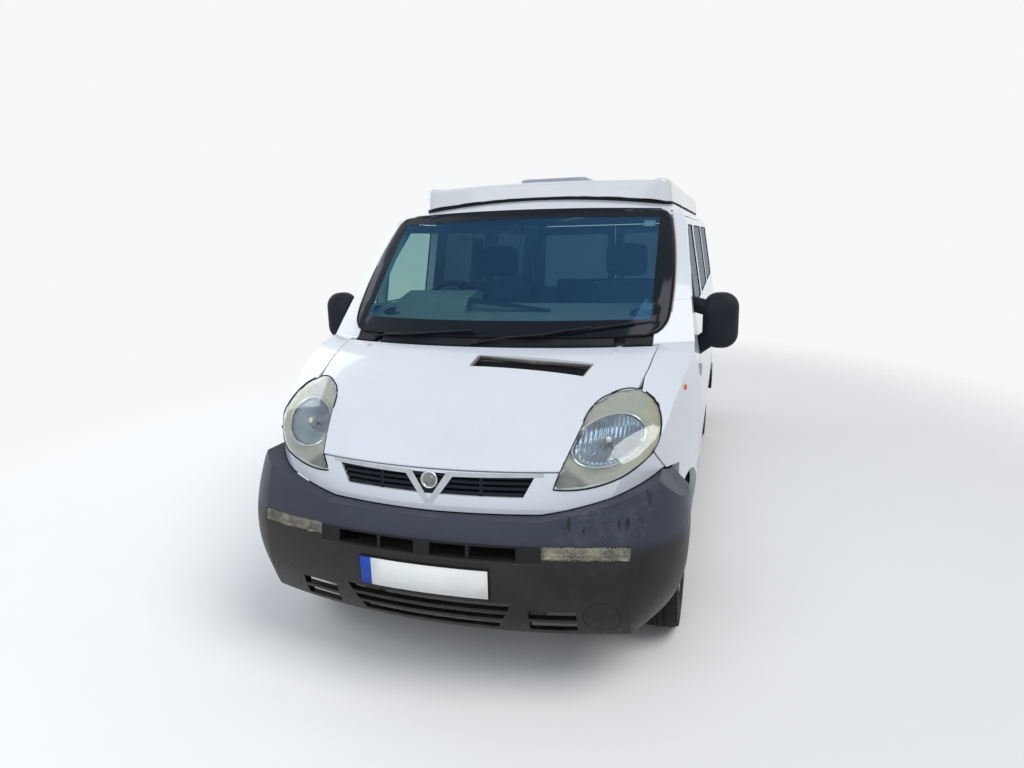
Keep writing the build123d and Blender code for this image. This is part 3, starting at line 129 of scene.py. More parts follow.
class Tree:
    """Node tree of one material."""

    def __init__(self, name: str) -> None:
        """Start an empty material."""
        self.material = bpy.data.materials.new(name)
        self.material.use_nodes = True
        self.material.node_tree.nodes.clear()

    def add(self, kind: str, settings: Optional[Mapping[str, object]] = None,
            sockets: Optional[Mapping[Union[int, str], object]] = None) -> bpy.types.Node:
        """Make a node.

        Args:
            kind: Blender's type name of the node.
            settings: Its properties, with a ramp's stops under "stops".
            sockets: Values or links of its inputs.

        Returns:
            The new node.
        """
        node = self.material.node_tree.nodes.new(kind)
        for name, value in (settings or {}).items():
            if name == "stops":
                ramp = node.color_ramp.elements
                while len(ramp) < len(value):
                    ramp.new(0.5)
                for element, (place, colour) in zip(ramp, value):
                    element.position = place
                    element.color = (*colour, 1)
            else:
                setattr(node, name, value)
        for key, value in (sockets or {}).items():
            if isinstance(value, Channel):
                self.material.node_tree.links.new(value.socket, node.inputs[key])
            elif isinstance(value, bpy.types.NodeSocket):
                self.material.node_tree.links.new(value, node.inputs[key])
            elif isinstance(value, tuple) and len(value) == 3 and len(node.inputs[key].default_value) == 4:
                node.inputs[key].default_value = (*value, 1)
            else:
                node.inputs[key].default_value = value
        return node

    def place(self) -> tuple[Channel, Channel, Channel]:
        """Coordinates of the surface in the van's frame, in metres.

        Returns:
            The x, y and z channels.
        """
        coordinates = self.add("ShaderNodeTexCoord")
        parts = self.add("ShaderNodeSeparateXYZ", None, {0: coordinates.outputs["Object"]})
        return tuple(Channel(self, parts.outputs[index]) for index in range(3))

    def stretched(self, scale: Point) -> bpy.types.NodeSocket:
        """Coordinates multiplied by a scale a direction.

        Args:
            scale: Factor along each axis.

        Returns:
            The scaled coordinates.
        """
        coordinates = self.add("ShaderNodeTexCoord")
        return self.add("ShaderNodeMapping", None, {"Vector": coordinates.outputs["Object"],
                                                    "Scale": tuple(scale)}).outputs[0]

    def noise(self, scale: float, detail: float = 3.0, rough: float = 0.5,
              stretch: Point = (1.0, 1.0, 1.0)) -> Channel:
        """Soft noise from 0 to 1, at scale features a metre.

        Args:
            scale: Features a metre.
            detail: Octaves.
            rough: Share of the finer octaves.
            stretch: Factor along each axis.

        Returns:
            Noise around 0.5.
        """
        node = self.add("ShaderNodeTexNoise", None, {"Vector": self.stretched(stretch), "Scale": scale,
                                                     "Detail": detail, "Roughness": rough})
        return Channel(self, node.outputs[0])

    def cells(self, scale: float) -> Channel:
        """Distance to the nearest of scattered cell centres."""
        node = self.add("ShaderNodeTexVoronoi", None, {"Vector": self.stretched((1, 1, 1)), "Scale": scale})
        return Channel(self, node.outputs["Distance"])

    def mix(self, first: Tint, second: Tint, factor: Number) -> bpy.types.NodeSocket:
        """Colour between two others."""
        node = self.add("ShaderNodeMix", {"data_type": "RGBA"}, {0: factor, 6: first, 7: second})
        return node.outputs[2]

    def bump(self, height: Channel, distance: float, strength: float = 1.0,
             edge: float = 0.0) -> bpy.types.NodeSocket:
        """Normal of a small relief on softened edges.

        Args:
            height: Relief from 0 to 1.
            distance: Its depth in metres.
            strength: Its share that shows.
            edge: Radius of the edges' rounding in metres.

        Returns:
            The normal's socket.
        """
        sockets = {"Height": height, "Distance": distance, "Strength": strength}
        if edge:
            sockets["Normal"] = self.add("ShaderNodeBevel", {"samples": 4}, {"Radius": edge}).outputs[0]
        return self.add("ShaderNodeBump", None, sockets).outputs[0]

    def glance(self) -> Channel:
        """Share that a thin pane mirrors, the same from both of its sides.

        Returns:
            The share, for a Mix Shader's factor.
        """
        node = self.add("ShaderNodeLayerWeight", None, {"Blend": 0.5})
        facing = Channel(self, node.outputs["Facing"])
        return facing * facing * facing * facing * facing * 0.9 + 0.04

    def blend(self, first: bpy.types.Node, second: bpy.types.Node, factor: Number) -> bpy.types.Node:
        """Shader between two others."""
        return self.add("ShaderNodeMixShader", None, {0: factor, 1: first.outputs[0], 2: second.outputs[0]})

    def end(self, shader: bpy.types.Node) -> None:
        """Lead a shader to the output."""
        self.add("ShaderNodeOutputMaterial", None, {"Surface": shader.outputs[0]})

    def surface(self, sockets: Mapping[str, object]) -> bpy.types.NodeSocket:
        """Principled surface with these inputs, led to the output.

        Args:
            sockets: Values or links of its inputs.

        Returns:
            The shader's socket.
        """
        shader = self.add("ShaderNodeBsdfPrincipled", None, sockets)
        self.add("ShaderNodeOutputMaterial", None, {"Surface": shader.outputs[0]})
        return shader.outputs[0]


@dataclass(frozen=True)
class Finish:
    """What a surface is made of and how it has aged."""

    name: str

    def material(self) -> bpy.types.Material:
        """Material of this finish, made once.

        Returns:
            The finish's one material.
        """
        found = bpy.data.materials.get(f"{self.name}_coat")
        if found is None:
            tree = Tree(f"{self.name}_coat")
            self.dress(tree)
            found = tree.material
        return found

    def dress(self, tree: Tree) -> None:
        """Build the nodes."""
        raise NotImplementedError


@dataclass(frozen=True)
class Paint(Finish):
    """Gloss paint with fine orange peel, a little dust and road dirt low down."""

    colour: Colour = (0.64, 0.685, 0.74)
    dirt: Colour = (0.36, 0.33, 0.29)
    dirt_height: float = 0.75
    edge: float = 0.003

    def dress(self, tree: Tree) -> None:
        """Build the nodes.

        Args:
            tree: Node tree of the material.
        """
        _, _, z = tree.place()
        film = tree.noise(2.2, 5, 0.6)
        spatter = tree.noise(60, 4, 0.7).rise(0.45, 0.75)
        low = z.rise(self.dirt_height, 0.28)
        pale = tree.mix(self.colour, tuple(0.94 * c for c in self.colour), film.rise(0.35, 0.75))
        colour = tree.mix(pale, self.dirt, low * (spatter * 0.5 + 0.14))
        tree.surface({"Base Color": colour, "Roughness": film * 0.1 + 0.2 + low * 0.25,
                      "Coat Weight": 0.5, "Coat Roughness": 0.04, "Specular IOR Level": 0.3,
                      "Normal": tree.bump(tree.noise(420, 2), 0.00012, edge=self.edge)})


@dataclass(frozen=True)
class Moulding(Finish):
    """Moulded plastic with a leather-like grain and faded patches."""

    colour: Colour = (0.009, 0.011, 0.016)
    faded: Colour = (0.018, 0.02, 0.026)
    roughness: float = 0.55
    grain: float = 520.0
    depth: float = 0.00025
    edge: float = 0.0
    shine: float = 0.16

    def dress(self, tree: Tree) -> None:
        """Build the nodes.

        Args:
            tree: Node tree of the material.
        """
        fade = tree.noise(7, 5, 0.6)
        tree.surface({"Base Color": tree.mix(self.colour, self.faded, fade.rise(0.4, 0.8)),
                      "Roughness": fade * 0.16 + (self.roughness - 0.08), "Specular IOR Level": self.shine,
                      "Normal": tree.bump(tree.cells(self.grain), self.depth, edge=self.edge)})


@dataclass(frozen=True)
class BumperSkin(Finish):
    """Dark grained bumper, bluer above as a painted sky reflection, with dried water marks under one lamp."""

    # Painted sky reflection: the bluish tone that the bumper takes above about 0.66 m.
    upper_sky_reflection: Colour = (0.024, 0.031, 0.05)
    lower: Colour = (0.0095, 0.0078, 0.0068)
    mark: Colour = (0.075, 0.085, 0.11)
    wet: Colour = (0.006, 0.008, 0.014)
    groove: tuple[float, float, float] = (0.446, 0.602, 0.663)
    blank: tuple[float, float, float] = (0.662, 0.388, 0.066)

    def _relief(self, tree: Tree) -> tuple[Channel, Channel]:
        """Masks of the groove round the intake, painted dark as shade, and of the ring seams of the lamp blanks.

        Args:
            tree: Node tree of the material.

        Returns:
            Masks of the groove and of the seams.
        """
        x, y, z = tree.place()
        half, foot, head = self.groove
        front = y.rise(-1.9, -2.1)
        band = abs(x).rise(half + 0.003, half - 0.003) * z.rise(foot - 0.004, foot + 0.004) * \
            z.rise(head + 0.003, head - 0.003) * front
        across, up = abs(x) - self.blank[0], z - self.blank[1]
        away = (across * across + up * up - self.blank[2] ** 2) * (0.5 / self.blank[2])
        return band, abs(away).rise(0.0032, 0.0016) * front

    def dress(self, tree: Tree) -> None:
        """Build the nodes.

        Args:
            tree: Node tree of the material.
        """
        x, y, z = tree.place()
        front = y.rise(-1.9, -2.1)
        run = tree.noise(38, 3, 0.6, (1, 1, 0.14)).rise(0.6, 0.64) * z.rise(0.66, 0.76)
        drops = tree.cells(62).rise(0.24, 0.17) * tree.noise(11, 2).rise(0.46, 0.6)
        zone = x.rise(0.42, 0.56) * x.rise(0.86, 0.78) * z.rise(0.66, 0.7) * front
        haze = tree.noise(6, 6, 0.65).rise(0.42, 0.72)
        # Blend from the bumper's own dark tone to the painted sky reflection above about 0.66 m.
        base = tree.mix(self.lower, self.upper_sky_reflection, z.rise(0.63, 0.69))
        pale = tree.mix(base, self.mark, haze * (zone * 0.75 + 0.12))
        water = (run.most(drops) * zone).least(0.9)
        dust = z.rise(0.42, 0.3) * tree.noise(30, 5, 0.7).rise(0.45, 0.75) * 0.5
        band, seam = self._relief(tree)
        dusty = tree.mix(tree.mix(pale, self.wet, water), (0.07, 0.062, 0.05), dust)
        # Painted shade: the groove round the intake is painted near black in its recess; the ring seams are dark
        # joints.
        colour = tree.mix(dusty, (0.002, 0.002, 0.003), (band * 0.8).most(seam))
        relief = tree.cells(480) * 0.03 - band - seam
        tree.surface({"Base Color": colour, "Roughness": haze * 0.14 + 0.4 - water * 0.22 + band * 0.3,
                      "Specular IOR Level": 0.3, "Normal": tree.bump(relief, 0.006, edge=0.003)})


@dataclass(frozen=True)
class Pane(Finish):
    """Tinted glass with a thin bluish film that is partly haze and partly painted sky reflection, and the
    windscreen's baked black band.
    """

    tint: Colour = (0.62, 0.72, 0.76)
    shine: Colour = (0.75, 0.85, 1.0)
    # Colour of the diffuse film: partly haze, partly painted sky reflection.
    haze_and_sky_reflection: Colour = (0.2, 0.3, 0.42)
    haze: float = 0.03
    band: bool = False

    def _band(self, tree: Tree) -> Channel:
        """Mask of the black border: narrow at the sides and head, wide at the foot.

        Args:
            tree: Node tree of the material.

        Returns:
            The border's mask.
        """
        x, _, z = tree.place()
        side = abs(x) + (z - SCREEN_FOOT) * 0.0321 - 0.744
        head = z + x * x * 0.0245 - SCREEN_CROWN
        return side.rise(-0.017, -0.015).most(head.rise(-0.03, -0.028)).most(z.rise(1.374, 1.371))

    def dress(self, tree: Tree) -> None:
        """Build the nodes.

        Args:
            tree: Node tree of the material.
        """
        smear = tree.noise(9, 5, 0.6).rise(0.3, 0.9)
        clear = tree.add("ShaderNodeBsdfTransparent", None, {"Color": self.tint})
        gloss = tree.add("ShaderNodeBsdfGlossy", None, {"Color": self.shine, "Roughness": 0.015})
        film = tree.add("ShaderNodeBsdfDiffuse", None, {"Color": self.haze_and_sky_reflection})
        pane = tree.blend(clear, gloss, tree.glance())
        if not self.band:
            tree.end(tree.blend(pane, film, smear * self.haze + self.haze * 0.5))
            return
        x, _, z = tree.place()
        # Painted sky reflection: the bluish film thickens towards the top and the right of the windscreen.
        sky = z.rise(1.3, 1.9) * 0.35 + x.rise(-0.5, 0.75) * 0.65
        hazed = tree.blend(pane, film, sky * self.haze * 2.2 + smear * self.haze * 0.4 + self.haze * 0.7)
        black = tree.add("ShaderNodeBsdfPrincipled", None, {
            "Base Color": (0.004, 0.008, 0.015), "Roughness": 0.08, "Specular IOR Level": 0.12})
        tree.end(tree.blend(hazed, black, self._band(tree)))


@dataclass(frozen=True)
class Metal(Finish):
    """Bare, plated or cast metal."""

    colour: Colour = (0.75, 0.76, 0.77)
    roughness: float = 0.12
    metallic: float = 1.0
    blotch: Colour = (0.5, 0.5, 0.5)
    amount: float = 0.1
    depth: float = 0.00005

    def dress(self, tree: Tree) -> None:
        """Build the nodes.

        Args:
            tree: Node tree of the material.
        """
        patch = tree.noise(24, 6, 0.65)
        tree.surface({"Base Color": tree.mix(self.colour, self.blotch, patch.rise(0.4, 0.8) * self.amount),
                      "Metallic": self.metallic, "Roughness": patch * 0.2 + self.roughness - 0.06,
                      "Normal": tree.bump(tree.noise(300, 3), self.depth)})


@dataclass(frozen=True)
class Rubber(Finish):
    """Black rubber, dusty grey where it wears."""

    colour: Colour = (0.01, 0.0095, 0.009)
    dust: Colour = (0.05, 0.046, 0.04)
    amount: float = 0.35

    def dress(self, tree: Tree) -> None:
        """Build the nodes.

        Args:
            tree: Node tree of the material.
        """
        patch = tree.noise(18, 6, 0.7)
        tree.surface({"Base Color": tree.mix(self.colour, self.dust, patch.rise(0.35, 0.85) * self.amount),
                      "Roughness": patch * 0.15 + 0.62, "Specular IOR Level": 0.14,
                      "Normal": tree.bump(tree.noise(700, 3), 0.0002)})


@dataclass(frozen=True)
class Lens(Finish):
    """Clear or coloured lamp cover, hazed by age, ribbed inside where it is an indicator's, with painted highlight
    stripes along the ribs.
    """

    tint: Colour = (0.96, 0.97, 0.95)
    haze: Colour = (0.62, 0.63, 0.55)
    amount: float = 0.12
    rib: float = 0.0

    def dress(self, tree: Tree) -> None:
        """Build the nodes.

        Args:
            tree: Node tree of the material.
        """
        x, _, _ = tree.place()
        cloud = tree.noise(14, 5, 0.6).rise(0.3, 0.85)
        clear = tree.add("ShaderNodeBsdfTransparent", None, {"Color": self.tint})
        shine: dict[str, object] = {"Color": (0.95, 0.97, 1.0), "Roughness": 0.05}
        film: dict[str, object] = {"Color": self.haze}
        share = cloud * self.amount
        if self.rib:
            wave = (x * (math.tau / self.rib)).wave()
            shine["Normal"] = tree.bump(wave, 0.0006)
            # Painted highlight: pale haze laid along each rib's crest.
            share = share + wave.rise(0.2, 1.0) * self.amount
        shiny = tree.blend(clear, tree.add("ShaderNodeBsdfGlossy", None, shine), tree.glance())
        tree.end(tree.blend(shiny, tree.add("ShaderNodeBsdfDiffuse", None, film), share))


@dataclass(frozen=True)
class LampFrame(Finish):
    """Satin frame round the bowl, cream above and outside, dark in the lower inner corner."""

    colour: Colour = (0.34, 0.36, 0.34)
    aged: Colour = (0.36, 0.34, 0.23)
    dark: Colour = (0.1, 0.115, 0.115)

    def dress(self, tree: Tree) -> None:
        """Build the nodes.

        Args:
            tree: Node tree of the material.
        """
        x, _, z = tree.place()
        away = (abs(x) - 0.473) * 0.55 + (z - 0.846) * 0.83
        corner = away.rise(0.085, 0.06)
        outer = abs(x).rise(0.72, 0.8)
        stain = tree.noise(22, 4, 0.6)
        colour = tree.mix(tree.mix(self.colour, self.aged, outer * 0.7 + stain.rise(0.5, 0.8) * 0.3), self.dark,
                          corner)
        tree.surface({"Base Color": colour, "Metallic": 0.0, "Roughness": stain * 0.15 + 0.4,
                      "Specular IOR Level": 0.3, "Normal": tree.bump(tree.noise(240, 3), 0.0001)})


@dataclass(frozen=True)
class Bowl(Finish):
    """Faceted mirror bowl of a headlamp, tinted bluish all over as a painted sky reflection."""

    # Painted sky reflection: bluish tint of the chrome bowl.
    colour: Colour = (0.13, 0.2, 0.31)
    shade: Colour = (0.1, 0.12, 0.13)
    facet: float = 0.016

    def dress(self, tree: Tree) -> None:
        """Build the nodes.

        Args:
            tree: Node tree of the material.
        """
        x, _, z = tree.place()
        step = (x * (math.tau / self.facet)).wave()
        row = (z * (math.tau / (self.facet * 2.4))).wave()
        mottle = tree.noise(30, 4, 0.6)
        tree.surface({"Base Color": tree.mix(self.colour, self.shade, mottle.rise(0.35, 0.8)), "Metallic": 0.9,
                      "Roughness": mottle * 0.16 + 0.14,
                      "Normal": tree.bump(step * 0.5 + row * 0.4 + mottle, 0.0016)})


@dataclass(frozen=True)
class Cloth(Finish):
    """Woven seat cloth with a fine diagonal rib and soft wear."""

    colour: Colour = (0.045, 0.05, 0.062)
    fleck: Colour = (0.12, 0.13, 0.15)
    threads: float = 420.0

    def dress(self, tree: Tree) -> None:
        """Build the nodes.

        Args:
            tree: Node tree of the material.
        """
        x, y, z = tree.place()
        warp = ((x + z) * (self.threads * 2)).wave()
        weft = ((y - z + x * 0.4) * (self.threads * 2)).wave()
        weave = warp * weft
        wear = tree.noise(9, 5, 0.6)
        colour = tree.mix(self.colour, self.fleck, weave.rise(0.1, 0.9) * 0.5 + wear.rise(0.5, 0.9) * 0.3)
        tree.surface({"Base Color": colour, "Roughness": 0.9, "Sheen Weight": 0.25,
                      "Normal": tree.bump(weave, 0.0004)})


@dataclass(frozen=True)
class Board(Finish):
    """Laminated board with a printed wood grain."""

    colour: Colour = (0.42, 0.29, 0.17)
    vein: Colour = (0.24, 0.15, 0.08)

    def dress(self, tree: Tree) -> None:
        """Build the nodes.

        Args:
            tree: Node tree of the material.
        """
        grain = tree.noise(9, 8, 0.6, (14, 14, 1.2))
        tree.surface({"Base Color": tree.mix(self.colour, self.vein, grain.rise(0.4, 0.68)),
                      "Roughness": grain * 0.1 + 0.3, "Normal": tree.bump(grain, 0.0002)})


@dataclass(frozen=True)
class TailLens(Finish):
    """Ribbed tail lamp: amber above, red, and clear bands."""

    foot: float = 1.01
    head: float = 1.352

    def dress(self, tree: Tree) -> None:
        """Build the nodes.

        Args:
            tree: Node tree of the material.
        """
        _, _, z = tree.place()
        share = (z - self.foot) * (1 / (self.head - self.foot))
        red = tree.mix((0.38, 0.008, 0.01), (0.55, 0.56, 0.55), share.rise(0.36, 0.37) * share.rise(0.54, 0.53))
        colour = tree.mix(red, (0.75, 0.2, 0.015), share.rise(0.72, 0.73))
        rib = (z * 1500).wave()
        tree.surface({"Base Color": colour, "Roughness": 0.08, "Coat Weight": 0.6,
                      "Normal": tree.bump(rib + tree.noise(300, 2), 0.0004)})


class Coat(Enum):
    """Every finish on the van."""

    WHITE = Paint("white_paint")
    CAP = Paint("cap_gelcoat", colour=(0.68, 0.7, 0.72))
    VENT = Moulding("vent_dome", colour=(0.3, 0.34, 0.42), faded=(0.38, 0.42, 0.5), roughness=0.3)
    BUMPER = BumperSkin("bumper_skin")
    TRIM = Moulding("black_trim")
    GRILLE = Moulding("grille_black", colour=(0.005, 0.007, 0.012), faded=(0.012, 0.014, 0.02), roughness=0.42,
                      edge=0.002)
    PILLAR = Moulding("pillar_strip", colour=(0.3, 0.27, 0.23), faded=(0.42, 0.38, 0.33), roughness=0.4,
                      grain=700, depth=0.0001)
    GREY_TRIM = Moulding("grey_trim", colour=(0.2, 0.19, 0.17), faded=(0.28, 0.26, 0.23), roughness=0.5)
    # Painted sky reflection: the panes' shine and film colours are tinted blue, most of all on the windscreen.
    SCREEN = Pane("windscreen_glass", tint=(0.72, 0.84, 0.85), shine=(0.08, 0.21, 0.4), haze_and_sky_reflection=(0.07, 0.2, 0.42),
                  haze=0.047, band=True)
    GLASS = Pane("side_glass_tint", tint=(0.8, 0.9, 0.82), shine=(0.3, 0.35, 0.4), haze=0.01)
    PRIVACY = Pane("rear_glass_tint", tint=(0.22, 0.27, 0.28), shine=(0.3, 0.35, 0.4), haze=0.01)
    CHROME = Metal("chrome", colour=(0.5, 0.54, 0.58), blotch=(0.3, 0.32, 0.35), amount=0.5)
    BADGE = Metal("badge_disc", colour=(0.2, 0.22, 0.21), roughness=0.3, blotch=(0.06, 0.06, 0.06), amount=0.6)
    BOWL = Bowl("lamp_bowl")
    FRAME = LampFrame("lamp_frame")
    SILVER = Metal("wheel_silver", colour=(0.42, 0.43, 0.44), roughness=0.34, metallic=0.6,
                   blotch=(0.2, 0.17, 0.14), amount=0.5)
    CASTING = Metal("cast_iron", colour=(0.13, 0.12, 0.115), roughness=0.6, metallic=0.7,
                    blotch=(0.2, 0.09, 0.04), amount=0.7, depth=0.0006)
    PIPE = Metal("exhaust_steel", colour=(0.28, 0.25, 0.22), roughness=0.5, metallic=0.8,
                 blotch=(0.2, 0.08, 0.03), amount=0.8, depth=0.0004)
    CHASSIS = Moulding("underbody_coat", colour=(0.03, 0.03, 0.03), faded=(0.1, 0.09, 0.08), roughness=0.75,
                       grain=160, depth=0.0008)
    TYRE = Rubber("tyre_rubber")
    SEAL = Rubber("seal_rubber", colour=(0.006, 0.006, 0.007), dust=(0.02, 0.02, 0.02), amount=0.3)
    LAMP = Lens("headlamp_lens")
    BLINKER = Lens("indicator_lens", tint=(0.86, 0.86, 0.8), haze=(0.5, 0.48, 0.4), amount=0.12, rib=0.009)
    BLINK_BACK = Metal("indicator_back", colour=(0.05, 0.052, 0.05), roughness=0.25, blotch=(0.6, 0.56, 0.46),
                       amount=1.0)
    AMBER = Lens("repeater_lens", tint=(0.95, 0.35, 0.03), haze=(0.8, 0.25, 0.03), amount=0.8)
    TAIL = TailLens("tail_lens")
    DASH = Moulding("dashboard_grey", colour=(0.2, 0.225, 0.21), faded=(0.25, 0.275, 0.255), roughness=0.62)
    DASH_DARK = Moulding("dashboard_dark", colour=(0.02, 0.022, 0.025), faded=(0.035, 0.037, 0.04))
    CLOTH = Cloth("seat_cloth")
    BOLSTER = Cloth("seat_bolster", colour=(0.025, 0.027, 0.032), fleck=(0.06, 0.065, 0.07))
    CANVAS = Cloth("roof_canvas", colour=(0.33, 0.32, 0.29), fleck=(0.5, 0.49, 0.44), threads=300)
    CURTAIN = Cloth("curtain_cloth", colour=(0.5, 0.49, 0.46), fleck=(0.66, 0.65, 0.6), threads=520)
    BOARD = Board("furniture_board")
    STEEL = Metal("bare_steel", colour=(0.6, 0.6, 0.6), roughness=0.25)
    PLATE = Moulding("plate_white", colour=(0.74, 0.75, 0.74), faded=(0.66, 0.67, 0.66), roughness=0.3,
                     grain=900, depth=0.00005)
    PLATE_BLUE = Moulding("plate_blue", colour=(0.012, 0.06, 0.35), faded=(0.02, 0.08, 0.4), roughness=0.3,
                          grain=900, depth=0.00005)
    # Near black: the plate's real backing, and painted shade below the bonnet intake's mesh.
    DARK = Moulding("black_backing_and_painted_shade", colour=(0.006, 0.006, 0.007), faded=(0.012, 0.012, 0.013), roughness=0.8)
    MIRROR = Metal("mirror_glass", colour=(0.85, 0.88, 0.9), roughness=0.07, amount=0.02)


class Form:
    """A mesh in the making, in the van's frame."""

    def __init__(self) -> None:
        """Start empty."""
        self.mesh = bmesh.new()

    def block(self, low: Point, high: Point, bevel: float = 0.0, segments: int = 2) -> "Form":
        """Add a box between two corners.

        Args:
            low: Lowest corner.
            high: Highest corner.
            bevel: Width of its rounded edges.
            segments: Steps in a rounded edge.

        Returns:
            This form.
        """
        low, high = Vector(low), Vector(high)
        made = bmesh.ops.create_cube(self.mesh, size=1.0)["verts"]
        for vertex in made:
            vertex.co = Vector([low[i] + (vertex.co[i] + 0.5) * (high[i] - low[i]) for i in range(3)])
        if bevel:
            edges = list({edge for vertex in made for edge in vertex.link_edges})
            bmesh.ops.bevel(self.mesh, geom=edges, offset=bevel, segments=segments, affect="EDGES", profile=0.5)
        return self

    def grid(self, rows: Sequence[Sequence[Point]], closed: bool = False) -> "Form":
        """Add a skin through rows of points.

        Args:
            rows: Rows of equally many points.
            closed: Whether each row runs round.

        Returns:
            This form.
        """
        made = [[self.mesh.verts.new(point) for point in row] for row in rows]
        for first, second in zip(made, made[1:]):
            count = len(first)
            for index in range(count if closed else count - 1):
                after = (index + 1) % count
                self.mesh.faces.new((first[index], first[after], second[after], second[index]))
        return self

    def tube(self, points: Sequence[Point], radius: float, sides: int = 10, flat: float = 1.0,
             loop: bool = False) -> "Form":
        """Add a tube along points.

        Args:
            points: Its middle line.
            radius: Its radius.
            sides: Facets round it.
            flat: Height of its section as a share of its width.
            loop: Whether the line closes on itself.

        Returns:
            This form.
        """
        line = [Vector(point) for point in points]
        rows = []
        for index, point in enumerate(line):
            before = line[index - 1] if index or loop else point
            after = line[(index + 1) % len(line)] if index + 1 < len(line) or loop else point
            along = (after - before).normalized()
            side = along.cross(Vector((0, 0, 1)))
            if side.length < 1e-3:
                side = Vector((1, 0, 0))
            side.normalize()
            lift = side.cross(along)
            rows.append([point + side * (radius * math.cos(turn)) + lift * (radius * flat * math.sin(turn))
                         for turn in (math.tau * step / sides for step in range(sides))])
        if loop:
            rows.append(rows[0])
        self.grid(rows, closed=True)
        if not loop:
            for row in (rows[0], rows[-1]):
                self.mesh.faces.new([self.mesh.verts.new(point) for point in row])
        return self

    def spin(self, profile: Sequence[tuple[float, float]], centre: Point, axis: Point,
             steps: int = 48) -> "Form":
        """Add a turned skin.

        Args:
            profile: Points as (distance along the axis, radius).
            centre: A point on the axis.
            axis: Its direction.
            steps: Facets round it.

        Returns:
            This form.
        """
        centre, axis = Vector(centre), Vector(axis).normalized()
        across = axis.orthogonal().normalized()
        rows = []
        for along, radius in profile:
            rows.append([centre + axis * along + Matrix.Rotation(math.tau * step / steps, 3, axis)
                         @ (across * max(radius, 1e-5)) for step in range(steps)])
        return self.grid(rows, closed=True)

    def mirrored(self) -> "Form":
        """Copy of the form on the van's other side.

        Returns:
            The new form.
        """
        twin = Form()
        twin.mesh = self.mesh.copy()
        bmesh.ops.scale(twin.mesh, vec=(-1, 1, 1), verts=twin.mesh.verts)
        bmesh.ops.reverse_faces(twin.mesh, faces=twin.mesh.faces)
        return twin

    def place(self, name: str, coat: Coat, body: str, slot: Optional[str] = None, smooth: float = 35.0,
              shell: float = 0.0) -> bpy.types.Object:
        """Turn the form into a piece that rides on a body.

        Args:
            name: The piece's name.
            coat: Its finish.
            body: The body that carries it, or empty where it rides on none.
            slot: Material slot that it takes after; not used.
            smooth: Angle in degrees under which edges shade smooth.
            shell: Thickness given to an open skin.

        Returns:
            The new object.
        """
        bmesh.ops.remove_doubles(self.mesh, verts=self.mesh.verts, dist=1e-5)
        if not shell:
            bmesh.ops.recalc_face_normals(self.mesh, faces=self.mesh.faces)
        data = bpy.data.meshes.new(name)
        self.mesh.to_mesh(data)
        self.mesh.free()
        data.shade_smooth()
        data.set_sharp_from_angle(angle=math.radians(smooth))
        piece = put(name, data)
        data.materials.append(coat.value.material())
        if shell:
            wall = piece.modifiers.new("wall", "SOLIDIFY")
            wall.thickness = shell
            wall.offset = -1
        if body:
            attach(piece, body)
        LOG.info("%s: %d faces on %s", name, len(data.polygons), body)
        return piece


class Skin:
    """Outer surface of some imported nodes, to set details on."""

    def __init__(self, *nodes: str) -> None:
        """Gather the nodes' faces."""
        points: list[Vector] = []
        faces: list[list[int]] = []
        for node in nodes:
            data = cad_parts[node].data
            start = len(points)
            points.extend(vertex.co.copy() for vertex in data.vertices)
            faces.extend([start + index for index in face.vertices] for face in data.polygons)
        self.tree = BVHTree.FromPolygons(points, faces)

    def hit(self, start: Point, toward: Point) -> Optional[tuple[Vector, Vector]]:
        """First point and outward normal that a ray meets, or None.

        Args:
            start: Where the ray starts.
            toward: Its direction.

        Returns:
            The point with its normal, or None where nothing is met.
        """
        place, normal, _, _ = self.tree.ray_cast(Vector(start), Vector(toward).normalized())
        if place is None:
            return None
        if normal.dot(Vector(toward)) > 0:
            normal = -normal
        return place, normal

    def from_front(self, x: float, z: float, lift: float = 0.0) -> Vector:
        """Point of the surface straight behind (x, z), lifted off it.

        Args:
            x: Place across.
            z: Height.
            lift: Distance off the surface.

        Returns:
            The lifted point.
        """
        starts = [(x - math.copysign(shift, x), -FAR, z + shift) for shift in (0.0, 0.006, 0.014)]
        return self._met(starts, (0, 1, 0), (x, -1.45 if z > 1.22 else -2.0, z), lift)

    def _met(self, starts: Sequence[Point], toward: Point, near: Point, lift: float) -> Vector:
        """Point met from the first start that meets anything, or else the one nearest to a place.

        Args:
            starts: Ray starts, tried in order.
            toward: Their direction.
            near: Place to fall back on.
            lift: Distance off the surface.

        Returns:
            The point, lifted along its normal.
        """
        for start in starts:
            found = self.hit(start, toward)
            if found:
                return found[0] + Vector(starts[0]) - Vector(start) + found[1] * lift
        place, normal, _, _ = self.tree.find_nearest(Vector(near))
        return place + normal * lift

    def from_side(self, side: int, y: float, z: float, lift: float = 0.0) -> Vector:
        """Point of the van's flank at (y, z), lifted off it."""
        return self._met(((2.0 * side, y, z),), (-side, 0, 0), (0.9 * side, y, z), lift)

    def from_above(self, x: float, y: float, lift: float = 0.0) -> Vector:
        """Point of the top surface at (x, y), lifted off it."""
        return self._met(((x, y, FAR),), (0, 0, -1), (x, y, 1.5), lift)


